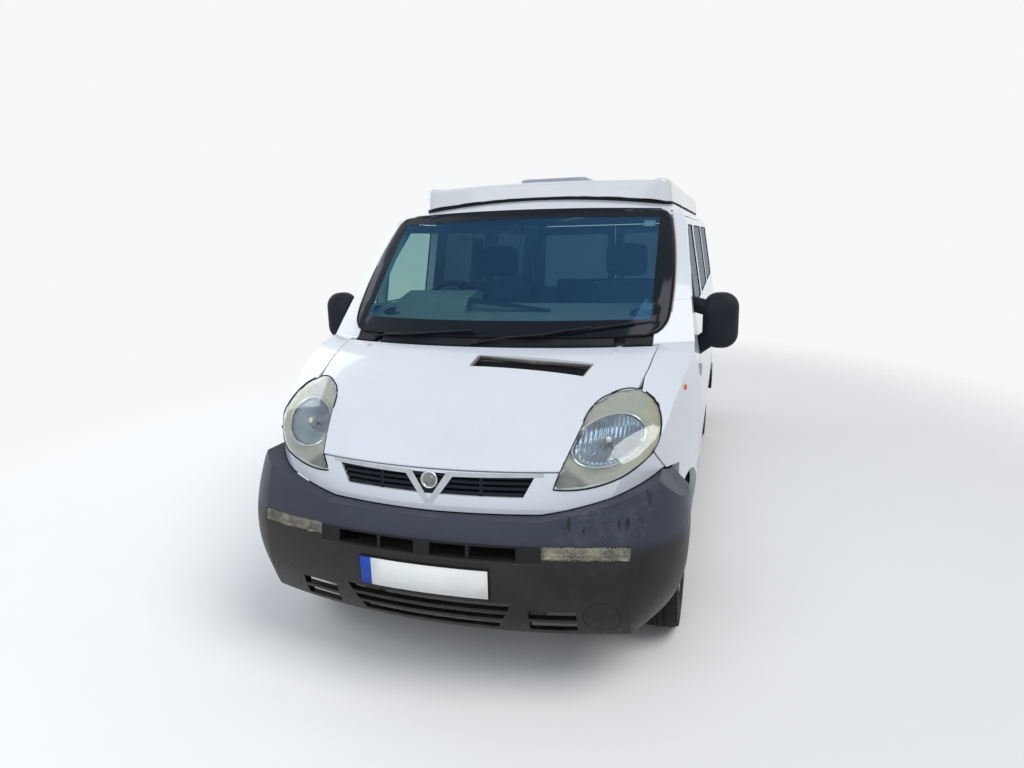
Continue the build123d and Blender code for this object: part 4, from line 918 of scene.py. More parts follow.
def rims(node: str, toward: Point, side: int = 0) -> list[list[Vector]]:
    """Outlines of a packed pane's outer face.

    Args:
        node: The pane.
        toward: Direction that the outer face looks in.
        side: 1 or -1 to keep only that side of the van.

    Returns:
        Closed rings of points at least 4 mm apart.
    """
    source = bmesh.new()
    source.from_mesh(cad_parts[node].data)
    bmesh.ops.remove_doubles(source, verts=source.verts, dist=2e-5)
    source.normal_update()
    facing = Vector(toward)
    drop = [face for face in source.faces if face.normal.dot(facing) < 0.4
            or (side and face.calc_center_median().x * side < 0)]
    bmesh.ops.delete(source, geom=drop, context="FACES")
    ahead: dict[int, list[bmesh.types.BMVert]] = {}
    for edge in source.edges:
        if len(edge.link_faces) == 1:
            for first, second in (edge.verts, reversed(edge.verts)):
                ahead.setdefault(first.index, []).append(second)
    source.verts.ensure_lookup_table()
    left, rings = set(ahead), []
    while left:
        start = step = min(left)
        ring = []
        while step in left:
            left.discard(step)
            point = source.verts[step].co.copy()
            if not ring or (point - ring[-1]).length > 0.004:
                ring.append(point)
            step = next((vert.index for vert in ahead[step] if vert.index in left), start)
        if len(ring) > 8:
            rings.append(ring)
    source.free()
    return rings


def spread(low: float, high: float, count: int) -> list[float]:
    """Evenly spaced numbers from low to high."""
    return [low + (high - low) * index / (count - 1) for index in range(count)]


def corner_centres(low: Flat, high: Flat, radius: float) -> list[Flat]:
    """Centres of a rectangle's round corners, anticlockwise from the one highest in both directions."""
    near, far = (low[0] + radius, low[1] + radius), (high[0] - radius, high[1] - radius)
    return [far, (near[0], far[1]), near, (far[0], near[1])]


def round_ring(centres: Sequence[Flat], radius: float, steps: int) -> list[tuple[float, float, float, float]]:
    """Points round four round corners.

    Args:
        centres: Centres of the corners, in the order that corner_centres gives.
        radius: Radius of the corners.
        steps: Facets in each corner.

    Returns:
        Points as (u, v, outward u, outward v).
    """
    points = []
    for index, (u, v) in enumerate(centres):
        for step in range(steps + 1):
            turn = math.tau * (0.25 * index + 0.25 * step / steps)
            out = (math.cos(turn), math.sin(turn))
            points.append((u + radius * out[0], v + radius * out[1], *out))
    return points


def put(name: str, data: Optional[bpy.types.ID]) -> bpy.types.Object:
    """Object with this data, linked into the scene.

    Args:
        name: The object's name.
        data: Its mesh, lamp or camera.

    Returns:
        The new object.
    """
    made = bpy.data.objects.new(name, data)
    bpy.context.scene.collection.objects.link(made)
    return made


def coat_nodes(coat: Coat, *nodes: str) -> None:
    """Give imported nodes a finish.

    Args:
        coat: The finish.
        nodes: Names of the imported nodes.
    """
    for name in nodes:
        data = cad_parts[name].data
        data.materials.clear()
        data.materials.append(coat.value.material())
        LOG.info("%s: dressed as %s", name, coat.name.lower())


@dataclass
class Bodywork:
    """Painted panels and the side repeaters on them."""

    repeater: tuple[float, float, float] = (-1.681, 1.129, 0.02)

    def dress(self) -> None:
        """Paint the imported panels."""
        coat_nodes(Coat.WHITE, "body_side_left", "body_side_right", "roof_panel", "wings", "front_panel",
                   "bonnet", "door_left", "door_right", "sliding_door", "rear_door_left", "rear_door_right")
        coat_nodes(Coat.TRIM, "scuttle", "mirror_left", "mirror_right")
        coat_nodes(Coat.GRILLE, "grille")
        coat_nodes(Coat.CHROME, "grille_trim")
        coat_nodes(Coat.BUMPER, "bumper_front", "bumper_rear")
        coat_nodes(Coat.CAP, "pop_roof")
        coat_nodes(Coat.SEAL, "roof_seal")
        coat_nodes(Coat.TAIL, "tail_lamps")

    def build(self) -> None:
        """Build the side repeaters."""
        flank = Skin("wings")
        for hand, side in SIDES:
            y, z, radius = self.repeater
            spot, normal = flank.hit((2 * side, y, z), (-side, 0, 0))
            Form().spin([(-0.004, radius * 0.6), (0.002, radius * 0.62), (0.007, radius * 0.5), (0.009, 0.0)],
                        spot, normal, 24).place(f"side_repeater_{hand}", Coat.AMBER, "body", "indicator_lens")


@dataclass
class Headlamp:
    """One headlamp: hazed cover, frame, oval bowl with its ring, and bulb shield."""

    hand: str
    side: int
    centre: tuple[float, float] = (0.648, 0.996)
    reach: tuple[float, float] = (0.126, 0.074)
    lean: float = 0.19
    depth: float = 0.06
    tip: tuple[float, float] = (0.473, 0.846)
    arcs: tuple[tuple[tuple[float, float], tuple[float, float]], ...] = (
        ((0.66, 0.867), (0.8, 0.948)), ((0.829, 1.032), (0.788, 1.117)), ((0.712, 1.146), (0.622, 1.13)),
        ((0.572, 1.1), (0.548, 1.052)))
    overlap: float = 0.003
    frame_rows: tuple[Flat, ...] = ((0.03, 0.004), (0.12, 0.012), (0.5, 0.024), (0.86, 0.022), (1.0, 0.014))
    cover_rows: tuple[Flat, ...] = ((0.0, 0.006), (0.2, 0.006), (0.4, 0.0055), (0.6, 0.005), (0.8, 0.004),
                                    (0.93, 0.003), (0.985, 0.002), (1.0, 0.0005))
    bowl_rows: tuple[float, ...] = (0.0, 0.15, 0.3, 0.45, 0.6, 0.75, 0.88, 1.0)

    def _outline(self) -> list[Vector]:
        """Drop-shaped outline of the cover seen from the front, as points round it.

        Returns:
            Points as (x, z), anticlockwise.
        """
        points, start = [], Vector(self.tip)
        for through, end in self.arcs:
            a, b, c = start, Vector(through), Vector(end)
            spin = 2 * (a.x * (b.y - c.y) + b.x * (c.y - a.y) + c.x * (a.y - b.y))
            sa, sb, sc = a.length_squared, b.length_squared, c.length_squared
            middle = Vector(((sa * (b.y - c.y) + sb * (c.y - a.y) + sc * (a.y - b.y)) / spin,
                             (sa * (c.x - b.x) + sb * (a.x - c.x) + sc * (b.x - a.x)) / spin))
            first = math.atan2(a.y - middle.y, a.x - middle.x)
            turn = (math.atan2(c.y - middle.y, c.x - middle.x) - first) % math.tau
            radius = (a - middle).length
            points += [middle + radius * Vector((math.cos(first + turn * share), math.sin(first + turn * share)))
                       for share in spread(0.0, 1.0, 13)[:-1]]
            start = c
        return points + [start, start.lerp(Vector(self.tip), 0.5)]

    def _oval(self, turn: float, share: float) -> tuple[float, float]:
        """Point of the bowl's oval seen from the front, at a share of its reach.

        Args:
            turn: Angle round the oval.
            share: Share of its reach.

        Returns:
            The point as (x, z).
        """
        u = self.reach[0] * share * math.cos(turn)
        v = self.reach[1] * share * math.sin(turn)
        return (self.centre[0] + u * math.cos(self.lean) - v * math.sin(self.lean),
                self.centre[1] + u * math.sin(self.lean) + v * math.cos(self.lean))

    def _behind(self, skin: Skin, spot: tuple[float, float], sink: float) -> Vector:
        """Point behind the cover."""
        return skin.from_front(self.side * spot[0], spot[1]) + Vector((0, sink, 0))

    def _rim(self, skin: Skin, share: float, sink: float, count: int = 56) -> list[Vector]:
        """Ring of points behind the cover, at a share of the bowl's reach."""
        return [self._behind(skin, self._oval(math.tau * step / count, share), sink) for step in range(count)]

    def _edge(self, turn: float) -> Vector:
        """Point of the cover's outline that lies in a direction from the bowl's centre.

        Args:
            turn: Angle of the direction.

        Returns:
            The point as (x, z).
        """
        centre = Vector(self.centre)
        away = Vector((math.cos(turn), math.sin(turn)))
        best, outline = 0.05, self._outline()
        for a, b in zip(outline, outline[1:] + outline[:1]):
            run, gap = b - a, a - centre
            cross = away.x * run.y - away.y * run.x
            if abs(cross) < 1e-9:
                continue
            reach = (gap.x * run.y - gap.y * run.x) / cross
            share = (gap.x * away.y - gap.y * away.x) / cross
            if reach > 0 and -1e-6 <= share <= 1 + 1e-6:
                best = max(best, reach)
        return centre + away * (best + self.overlap)

    def _frame(self, skin: Skin) -> Form:
        """Sloping frame between the cover's edge and the bowl.

        Args:
            skin: Surface that it is set on.

        Returns:
            The frame's form.
        """
        rows = []
        for share, sink in self.frame_rows:
            row = []
            for turn in self.turns:
                spot = self._edge(turn).lerp(Vector(self._oval(turn - self.lean, 1.06)), share)
                row.append(self._behind(skin, (spot.x, spot.y), sink))
            rows.append(row)
        return Form().grid(rows, closed=True)

    @property
    def turns(self) -> list[float]:
        """Directions from the bowl's centre, closer together towards the cover's tip.

        Returns:
            Angles round the bowl's centre.
        """
        tip = math.atan2(self.tip[1] - self.centre[1], self.tip[0] - self.centre[0])
        return [tip + math.pi + math.pi * math.copysign(abs(t) ** 0.7, t) for t in spread(-1.0, 1.0, 121)[:-1]]

    def _cover(self, skin: Skin) -> Form:
        """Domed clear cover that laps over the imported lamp's edge.

        Args:
            skin: Surface that it is set on.

        Returns:
            The cover's form.
        """
        centre = Vector(self.centre)
        rows = []
        for share, lift in self.cover_rows:
            row = []
            for turn in self.turns:
                spot = centre.lerp(self._edge(turn), share)
                row.append(skin.from_front(self.side * spot.x, spot.y, lift))
            rows.append(row)
        return Form().grid(rows, closed=True)

    def _seal(self, skin: Skin) -> Form:
        """Dark seam round the cover."""
        ring = [skin.from_front(self.side * spot.x, spot.y, 0.0005) for spot in map(self._edge, self.turns)]
        return Form().tube(ring, 0.0035, 6, loop=True)

    def build(self) -> None:
        """Build the lamp."""
        skin = Skin("headlamps")
        panel = Skin("headlamps", "bonnet", "wings", "front_panel")
        lens = self._cover(panel).place(f"headlamp_cover_{self.hand}", Coat.LAMP, "body", "lamp_lens",
                                        smooth=80, shell=0.0025)
        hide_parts("headlamps")
        self._seal(panel).place(f"headlamp_seam_{self.hand}", Coat.SEAL, "body", "seal")
        self._frame(panel).place(f"headlamp_frame_{self.hand}", Coat.FRAME, "body", "chrome", shell=0.0008)
        rings = [self._rim(skin, share, 0.018 + self.depth * (1 - share ** 2)) for share in self.bowl_rows]
        Form().grid(rings, closed=True).place(f"headlamp_bowl_{self.hand}", Coat.BOWL, "body", "chrome",
                                              shell=0.0008)
        Form().tube(self._rim(skin, 1.03, 0.012), 0.005, 8, loop=True).place(
            f"headlamp_ring_{self.hand}", Coat.CHROME, "body", "chrome")
        self._bulb(skin)

    def _bulb(self, skin: Skin) -> None:
        """Shielded bulb on its two legs.

        Args:
            skin: Surface that it is set on.
        """
        middle = sum(self._rim(skin, 0.3, 0.045), Vector()) / 56
        form = Form().spin([(-0.012, 0.0), (-0.012, 0.015), (0.02, 0.015), (0.03, 0.011), (0.032, 0.0)], middle,
                           (0, -1, 0.1), 24)
        for shift in (-0.013, 0.013):
            foot = middle + Vector((shift, 0.012, -0.045))
            form.tube([middle + Vector((shift, -0.014, -0.004)), middle + Vector((shift, -0.008, -0.03)), foot],
                      0.003, 8)
        form.place(f"headlamp_shield_{self.hand}", Coat.STEEL, "body", "chrome")


@dataclass
class Nose:
    """Lamps, intake mesh, indicators and plate at the front."""

    plate: tuple[float, float, float, float] = (-0.26, 0.26, 0.459, 0.569)
    band: float = 0.048
    margin: float = 0.004
    intake: tuple[Flat, ...] = ((0.001, -1.822), (0.504, -1.822), (0.530, -1.722), (0.011, -1.722))
    wires: tuple[int, int] = (64, 14)
    wire: float = 0.0008
    mesh_drop: float = 0.012

    def _intake(self) -> None:
        """Framed mesh in the bonnet's intake, over a near-black sheet of painted shade."""
        skin = Skin("scuttle", "bonnet", "windscreen")
        height = [skin.from_above(x + (0.03 if x > 0.3 else -0.03), y).z for x, y in self.intake]
        rim = [Vector((x, y, z - 0.003)) for (x, y), z in zip(self.intake, height)]
        middle = sum(rim, Vector()) / 4

        def at(u: float, v: float, drop: float) -> Vector:
            """Point of the intake at shares across and back.

            Args:
                u: Share across.
                v: Share back.
                drop: Depth below the bonnet.

            Returns:
                The point.
            """
            front = rim[0].lerp(rim[1], u)
            rear = rim[3].lerp(rim[2], u)
            return front.lerp(rear, v) - Vector((0, 0, drop))

        edge = [at(u, 0, 0) for u in spread(0, 1, 9)] + [at(1, v, 0) for v in spread(0.25, 1, 4)] + \
               [at(u, 1, 0) for u in spread(1, 0, 9)[1:]] + [at(0, v, 0) for v in spread(0.75, 0.25, 3)]
        inner = [point + (middle - point).normalized() * 0.011 for point in edge]
        frame_form = Form()
        low = [point + Vector((0, 0, -0.016)) for point in inner]
        frame_form.grid([[p + Vector((0, 0, -0.01)) for p in edge], edge, inner, low], closed=True)
        frame_form.place("bonnet_intake_frame", Coat.GREY_TRIM, "bonnet", "black_trim", shell=0.0015)
        mesh = Form()
        for u in spread(0.02, 0.98, self.wires[0]):
            mesh.tube([at(u, 0.04, self.mesh_drop), at(u, 0.96, self.mesh_drop)], self.wire, 4)
        for v in spread(0.06, 0.94, self.wires[1]):
            mesh.tube([at(0.01, v, self.mesh_drop), at(0.99, v, self.mesh_drop)], self.wire, 4)
        mesh.place("bonnet_intake_mesh", Coat.GRILLE, "bonnet", "black_trim")
        # Painted shade: a near-black sheet below the mesh where the intake's depth lies in shade.
        Form().grid([[at(u, v, 0.024) for u in spread(0.0, 1.0, 3)] for v in (0.0, 1.0)]).place(
            "bonnet_intake_painted_shade", Coat.DARK, "bonnet", "black_trim", shell=0.001)

    def _plate(self) -> None:
        """Blank plate with a plain coloured band, bent slightly to the bumper."""
        skin = Skin("bumper_front")
        x0, x1, z0, z1 = self.plate

        def sheet(left: float, right: float, foot: float, head: float, lift: float) -> Form:
            """Thin strip on the bumper between these limits.

            Args:
                left: Left edge.
                right: Right edge.
                foot: Lower edge.
                head: Upper edge.
                lift: Distance off the bumper.

            Returns:
                The strip's form.
            """
            across = spread(left, right, 9)
            depth = [skin.from_front(x, (foot + head) / 2).y - lift for x in across]
            return Form().grid([[Vector((x, y, z)) for x, y in zip(across, depth)]
                                for z in spread(foot, head, 3)])

        out = self.margin
        sheet(x0 - out, x1 + out, z0 - out, z1 + out, 0.0055).place(
            "plate_backing", Coat.DARK, "body", "black_trim", shell=0.005)
        sheet(x0 + self.band, x1, z0, z1, 0.008).place("plate_face", Coat.PLATE, "body", "body_paint",
                                                       shell=0.002)
        sheet(x0, x0 + self.band, z0, z1, 0.008).place("plate_band", Coat.PLATE_BLUE, "body", "body_paint",
                                                       shell=0.002)

    def _indicators(self) -> None:
        """Clear ribbed indicator covers over their reflectors."""
        cover = bmesh.new()
        cover.from_mesh(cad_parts["indicators"].data)
        cover.normal_update()
        back = cover.copy()
        back.normal_update()
        bmesh.ops.delete(cover, geom=[f for f in cover.faces if f.normal.y > -0.3], context="FACES")
        bmesh.ops.delete(back, geom=[f for f in back.faces if f.normal.y < -0.3], context="FACES")
        front, rear = Form(), Form()
        front.mesh, rear.mesh = cover, back
        lens = front.place("indicator_covers", Coat.BLINKER, "body", "indicator_lens", shell=0.002)
        bowl = rear.place("indicator_housings", Coat.BLINK_BACK, "body", "chrome", shell=0.0006)
        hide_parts("indicators")
        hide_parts("indicators")

    def build(self) -> None:
        """Build lamps, intake, plate and indicators."""
        for hand, side in SIDES:
            Headlamp(hand, side).build()
        self._intake()
        self._plate()
        self._indicators()


@dataclass
class Badge:
    """Generic disc between the strips of the grille: a ring round a plain darker field."""

    centre: tuple[float, float] = (0.0035, 0.864)
    radius: float = 0.033

    def build(self) -> None:
        """Build the ring and the field."""
        spot, normal = Skin("grille_trim").hit((self.centre[0], -FAR, self.centre[1]), (0, 1, 0))
        ring = [(-0.002, self.radius + 0.001), (0.002, self.radius), (0.0032, self.radius - 0.003),
                (0.002, self.radius - 0.006), (0.0004, self.radius - 0.0065)]
        Form().spin(ring, spot, normal, 48).place("badge_ring", Coat.CHROME, "body", "chrome", smooth=60)
        field = [(0.0008, self.radius - 0.006), (0.0012, self.radius * 0.5), (0.0026, self.radius * 0.46),
                 (0.003, self.radius * 0.3), (0.003, 0.0)]
        Form().spin(field, spot, normal, 48).place("badge_field", Coat.BADGE, "body", "chrome")


@dataclass
class Screen:
    """Windscreen with its seal, pillar strips, wipers and sensor, and the other panes."""

    foot: float = SCREEN_FOOT
    head: float = 1.862
    crown: float = SCREEN_CROWN
    foot_corner: float = 0.086
    head_corner: float = 0.05
    strip: float = 0.014
    seal: float = 0.0045
    arms: tuple[tuple[Flat, ...], ...] = (
        ((-0.05, 1.272), (0.26, 1.302), (0.47, 1.334), (0.2, 1.3), (0.735, 1.357)),
        ((-0.62, 1.285), (-0.42, 1.29), (-0.07, 1.32), (-0.56, 1.296), (-0.05, 1.319)))
    blade: float = 0.0055
    hull: tuple[str, ...] = ("windscreen", "body_side_left", "body_side_right", "wings", "roof_panel", "scuttle")

    def dress(self) -> None:
        """Give the other panes their glass."""
        coat_nodes(Coat.GLASS, "door_glass_left", "door_glass_right")
        coat_nodes(Coat.PRIVACY, "side_glass", "rear_glass_left", "rear_glass_right")

    @staticmethod
    def _edge(z: float) -> float:
        """Half width of the windscreen at a height, without its round corners."""
        rise = z - 1.5
        return 0.806 - rise * 0.00315 - rise * rise * 0.373

    def _half(self, z: float) -> float:
        """Half width at a height, with the corners.

        Args:
            z: The height.

        Returns:
            The half width.
        """
        half = self._edge(z)
        for corner, gap in ((self.foot_corner, z - self.foot), (self.head_corner, self.head + 0.004 - z)):
            if gap < corner:
                half -= corner - math.sqrt(max(corner ** 2 - (corner - max(gap, 0.0)) ** 2, 0.0))
        return half

    def _point(self, skin: Skin, across: float, up: float, lift: float) -> Vector:
        """Point of the windscreen at shares across from -1 to 1 and up from 0 to 1, lifted off the hull.

        Args:
            skin: Hull that it lies on.
            across: Share across.
            up: Share up.
            lift: Distance off the hull.

        Returns:
            The point.
        """
        level = self.foot + (self.head + 0.004 - self.foot) * up
        x = self._half(level) * across
        crown = (self.crown - self.head) * (1 - (x / self._edge(self.head)) ** 2)
        height = level + max(crown, 0.0) * up
        spot = skin.from_front(x, height)
        middle = (skin.from_front(x, height - 0.012) + skin.from_front(x, height + 0.012)) / 2
        if spot.y > middle.y + 0.003:
            spot = middle
        return spot + Vector((math.copysign(0.25 * abs(x), x), -0.55, 0.83)).normalized() * lift

    def _glass(self, skin: Skin) -> None:
        """Bowed glass with its round corners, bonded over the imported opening.

        Args:
            skin: Surface that it is set on.
        """
        levels = [0.0, 0.004, 0.012, 0.028, 0.05, 0.08, 0.12] + spread(0.16, 0.88, 26) + \
                 [0.91, 0.935, 0.955, 0.97, 0.983, 0.993, 1.0]
        shares = [math.copysign(1 - (1 - abs(t)) ** 1.25, t) for t in spread(-1.0, 1.0, 61)]
        rows = [[self._point(skin, share, level, 0.006 + 0.007 * level) for share in shares] for level in levels]
        pane = Form().grid(rows).place("windscreen_pane", Coat.SCREEN, "body", "glazing", smooth=60, shell=0.005)
        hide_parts("windscreen")

    def _seals(self) -> None:
        """Rubber round every pane."""
        panes = [("side_left", "side_glass", (1, 0, 0), 1, "body"),
                 ("side_right", "side_glass", (-1, 0, 0), -1, "body"),
                 ("rear_left", "rear_glass_left", (0, 1, 0), 0, "rear_door_left"),
                 ("rear_right", "rear_glass_right", (0, 1, 0), 0, "rear_door_right"),
                 ("door_left", "door_glass_left", (1, 0, 0), 0, "door_left"),
                 ("door_right", "door_glass_right", (-1, 0, 0), 0, "door_right")]
        for name, node, toward, side, body in panes:
            form = Form()
            for ring in rims(node, toward, side):
                form.tube(ring, self.seal, 6, loop=True)
            form.place(f"glass_seal_{name}", Coat.SEAL, body, "seal")

    def _border(self, skin: Skin) -> None:
        """Rubber that runs round the windscreen.

        Args:
            skin: Surface that it is set on.
        """
        ups = spread(0.0, 1.0, 40)
        ring = [self._point(skin, share, 0.0, 0.004) for share in spread(-1.0, 1.0, 30)[:-1]]
        ring += [self._point(skin, 1.0, up, 0.004) for up in ups[:-1]]
        ring += [self._point(skin, share, 1.0, 0.01) for share in spread(1.0, -1.0, 30)[:-1]]
        ring += [self._point(skin, -1.0, up, 0.004) for up in reversed(ups[1:])]
        Form().tube(ring, 0.006, 8, loop=True).place("glass_seal_windscreen", Coat.SEAL, "body", "seal")

    def _strips(self, skin: Skin) -> None:
        """Plastic strips that run up both pillars beside the glass.

        Args:
            skin: Surface that it is set on.
        """
        for hand, side in SIDES:
            rows = []
            for z in spread(1.4, 1.868, 18):
                edge = self._half(min(z, 1.81)) + (-0.003 if z < 1.81 else (1.81 - z) * 0.25 - 0.003)
                rows.append([skin.from_front(side * (edge + shift), z, lift) for shift, lift in
                             ((0.0, 0.001), (0.002, 0.005), (self.strip / 2, 0.006), (self.strip, 0.004),
                              (self.strip + 0.001, -0.002))])
            Form().grid(rows).place(f"pillar_strip_{hand}", Coat.PILLAR, "body", "black_trim", shell=0.0015)

    def _sensor(self) -> None:
        """Mirror foot on the glass and a blank sticker."""
        skin = Skin("windscreen")
        foot = skin.from_front(0.0, 1.796, -0.008)
        Form().block(foot + Vector((-0.034, -0.004, -0.022)), foot + Vector((0.034, 0.03, 0.022)), 0.006, 3).place(
            "screen_sensor", Coat.DASH_DARK, "body", "cab_plastic")
        spots = [[skin.from_front(x, z, -0.0065) for x in spread(0.635, 0.692, 5)] for z in
                 spread(1.796, 1.83, 4)]
        Form().grid(spots).place("screen_sticker", Coat.PLATE, "body", "body_paint", shell=0.0003)

    def _wipers(self) -> None:
        """Two arms with sprung blades."""
        skin = Skin("windscreen", "scuttle", "bonnet")
        parts = []
        for index, (pivot, elbow, tip, start, end) in enumerate(self.arms):
            form = Form()
            root = skin.from_front(*pivot, 0.008)
            form.spin([(-0.012, 0.017), (0.008, 0.017), (0.014, 0.012), (0.015, 0.0)], root, (0, -0.5, 0.86), 20)
            middle = skin.from_front(*elbow, 0.026)
            reach = skin.from_front(*tip, 0.02)
            form.tube([root, root.lerp(middle, 0.5) + Vector((0, -0.008, 0.008)), middle,
                       middle.lerp(reach, 0.5) + Vector((0, -0.004, 0.003)), reach], 0.0085, 8, 0.6)
            blade = [skin.from_front(x, z, 0.0075) for x, z in
                     zip(spread(start[0], end[0], 18), spread(start[1], end[1], 18))]
            form.tube(blade, self.blade, 6)
            rib = [skin.from_front(x, z, 0.016) for x, z in
                   zip(spread(start[0] * 0.85 + end[0] * 0.15, start[0] * 0.15 + end[0] * 0.85, 10),
                       spread(start[1] * 0.85 + end[1] * 0.15, start[1] * 0.15 + end[1] * 0.85, 10))]
            form.tube(rib, self.blade, 6)
            for share in (0.2, 0.4, 0.6, 0.8):
                spot = rib[round(share * 9)]
                form.tube([spot, spot.lerp(blade[round((0.15 + share * 0.7) * 17)], 0.9)], 0.004, 6)
            parts.append(form.place(f"wiper_{index + 1}", Coat.TRIM, "body", "black_trim"))
        for part in parts:
            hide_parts("wipers")

    def build(self) -> None:
        """Build the glass and what goes round and over it."""
        skin = Skin(*self.hull)
        self._glass(skin)
        self._seals()
        self._border(skin)
        self._strips(skin)
        self._sensor()
        self._wipers()


@dataclass
class Mirrors:
    """Door mirrors: rounded heads on two-legged arms, with their glass."""

    inner: float = 0.944
    outer: float = 1.11
    front: float = -1.18
    rear: float = -1.084
    foot: float = 1.206
    head: float = 1.472
    corner: float = 0.072
    dome: float = 0.06
    thick: float = 0.028
    legs: tuple[tuple[float, tuple[Point, ...]], ...] = (
        (1.35, ((1.03, -1.136, 1.39), (0.97, -1.126, 1.398), (0.915, -1.108, 1.412), (0.878, -1.09, 1.42))),
        (1.5, ((1.03, -1.136, 1.29), (0.965, -1.126, 1.246), (0.915, -1.108, 1.206), (0.878, -1.09, 1.196))))
    glass: tuple[tuple[float, float, float], ...] = (
        (0.014, 0.0, 1.0), (0.015, 0.003, 1.0), (0.02, 0.004, 1.0), (0.034, 0.0045, 1.0), (0.034, 0.005, 0.0))

    def _ring(self, y: float, inset: float = 0.0, share: float = 1.0) -> list[Vector]:
        """Round-cornered section of the head at a place along it.

        Args:
            y: Place along the head.
            inset: How far it is drawn in.
            share: Size about its own centre.

        Returns:
            Points round it.
        """
        x0, x1 = self.inner + inset, self.outer - inset
        z0, z1 = self.foot + inset, self.head - inset
        radius = max(self.corner - inset * 0.5, 0.01)
        centre = Vector(((x0 + x1) / 2, y, (z0 + z1) / 2))
        ring = round_ring(corner_centres((x0, z0), (x1, z1), radius), radius, 8)
        return [centre.lerp(Vector((x, y, z)), share) for x, z, _, _ in ring]

    def _shell(self) -> Form:
        """Head with a domed front and a rolled rim at the back.

        Returns:
            The head's form.
        """
        rows = [self._ring(self.front + self.dome * (1 - math.cos(turn)), share=math.sin(turn) ** 0.62)
                for turn in (math.pi / 2 * step / 12 for step in range(13))]
        rows += [self._ring(self.rear - 0.006), self._ring(self.rear, 0.003), self._ring(self.rear, 0.009),
                 self._ring(self.rear - 0.012, 0.013), self._ring(self.rear - 0.012, 0.013, 0.0)]
        return Form().grid(rows, closed=True)

    def _arm(self, form: Form) -> Form:
        """Two flattened legs from the head to the door, joined at both ends.

        Args:
            form: Form that the legs join.

        Returns:
            The same form.
        """
        for flat, route in self.legs:
            form.tube(route, self.thick, 16, flat)
        return form

    def build(self) -> None:
        """Build both mirrors."""
        for hand, side in SIDES:
            door = f"door_{hand}"
            form = self._arm(self._shell())
            face = Form().grid([self._ring(self.rear - 0.0115 + lift, inset, share)
                                for inset, lift, share in self.glass], closed=True)
            if side < 0:
                form, face = form.mirrored(), face.mirrored()
            head = form.place(f"mirror_head_{hand}", Coat.TRIM, door, "black_trim", smooth=50)
            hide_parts(f"mirror_{hand}")
            face.place(f"mirror_face_{hand}", Coat.MIRROR, door, "glazing")


@dataclass
class Handles:
    """Pull handles of the side and rear doors, locks and the sliding door's rail cover."""

    height: float = 1.128
    proud: float = 0.026
    grip: float = 0.011
    cup: Flat = (0.062, 0.034)
    door: Flat = (-0.404, -0.254)
    lock: float = -0.232
    slide: Flat = (-0.112, 0.038)
    rail: Flat = (0.93, 1.96)
    rear: tuple[float, float, float] = (0.042, 0.172, 0.976)

    def _bar(self, skin: Skin, side: int, start: float, end: float) -> Form:
        """Bowed bar on two feet along a side door.

        Args:
            skin: Surface that it is set on.
            side: 1 for left, -1 for right.
            start: Front end along the van.
            end: Rear end.

        Returns:
            The handle's form.
        """
        form = Form()
        line = []
        for share in spread(0.0, 1.0, 11):
            bow = self.proud * (1 - (2 * share - 1) ** 6)
            line.append(skin.from_side(side, start + (end - start) * share, self.height, bow * 0.75 + 0.004))
        form.tube(line, self.grip, 12, 1.25)
        cup = [skin.from_side(side, (start + end) / 2 + self.cup[0] * math.cos(turn),
                              self.height + self.cup[1] * math.sin(turn), 0.0015)
               for turn in (math.tau * step / 36 for step in range(36))]
        form.mesh.faces.new([form.mesh.verts.new(point) for point in cup])
        return form

    def build(self) -> None:
        """Build the handles, the lock barrels and the sliding door's rail cover."""
        for hand, side in SIDES:
            skin = Skin(f"door_{hand}")
            self._bar(skin, side, *self.door).place(f"door_handle_{hand}", Coat.TRIM, f"door_{hand}",
                                                    "black_trim", smooth=50)
            lock = skin.from_side(side, self.lock, self.height, 0.0)
            Form().spin([(-0.002, 0.011), (0.003, 0.011), (0.004, 0.009), (0.004, 0.0)], lock, (side, 0, 0),
                        20).place(f"door_lock_{hand}", Coat.TRIM, f"door_{hand}", "black_trim")
        self._bar(Skin("sliding_door"), 1, *self.slide).place("sliding_door_handle", Coat.TRIM, "body",
                                                              "black_trim", smooth=50)
        flank = Skin("body_side_left")
        rail = [[flank.from_side(1, y, z, lift) for z, lift in ((1.111, -0.001), (1.112, 0.002), (1.134, 0.002),
                                                                (1.135, -0.001))] for y in spread(*self.rail, 24)]
        Form().grid(rail).place("sliding_door_rail", Coat.TRIM, "body", "black_trim", shell=0.001)
        tail = Skin("rear_door_left")
        form = Form()
        near, far, height = self.rear
        bow = []
        for share, x in zip(spread(0.0, 1.0, 11), spread(near, far, 11)):
            proud = 0.003 + 0.02 * (1 - (2 * share - 1) ** 6)
            bow.append(tail.hit((x, FAR, height), (0, -1, 0))[0] + Vector((0, proud, 0)))
        form.tube(bow, self.grip, 12, 1.2)
        form.place("rear_door_handle", Coat.TRIM, "rear_door_left", "black_trim", smooth=50)


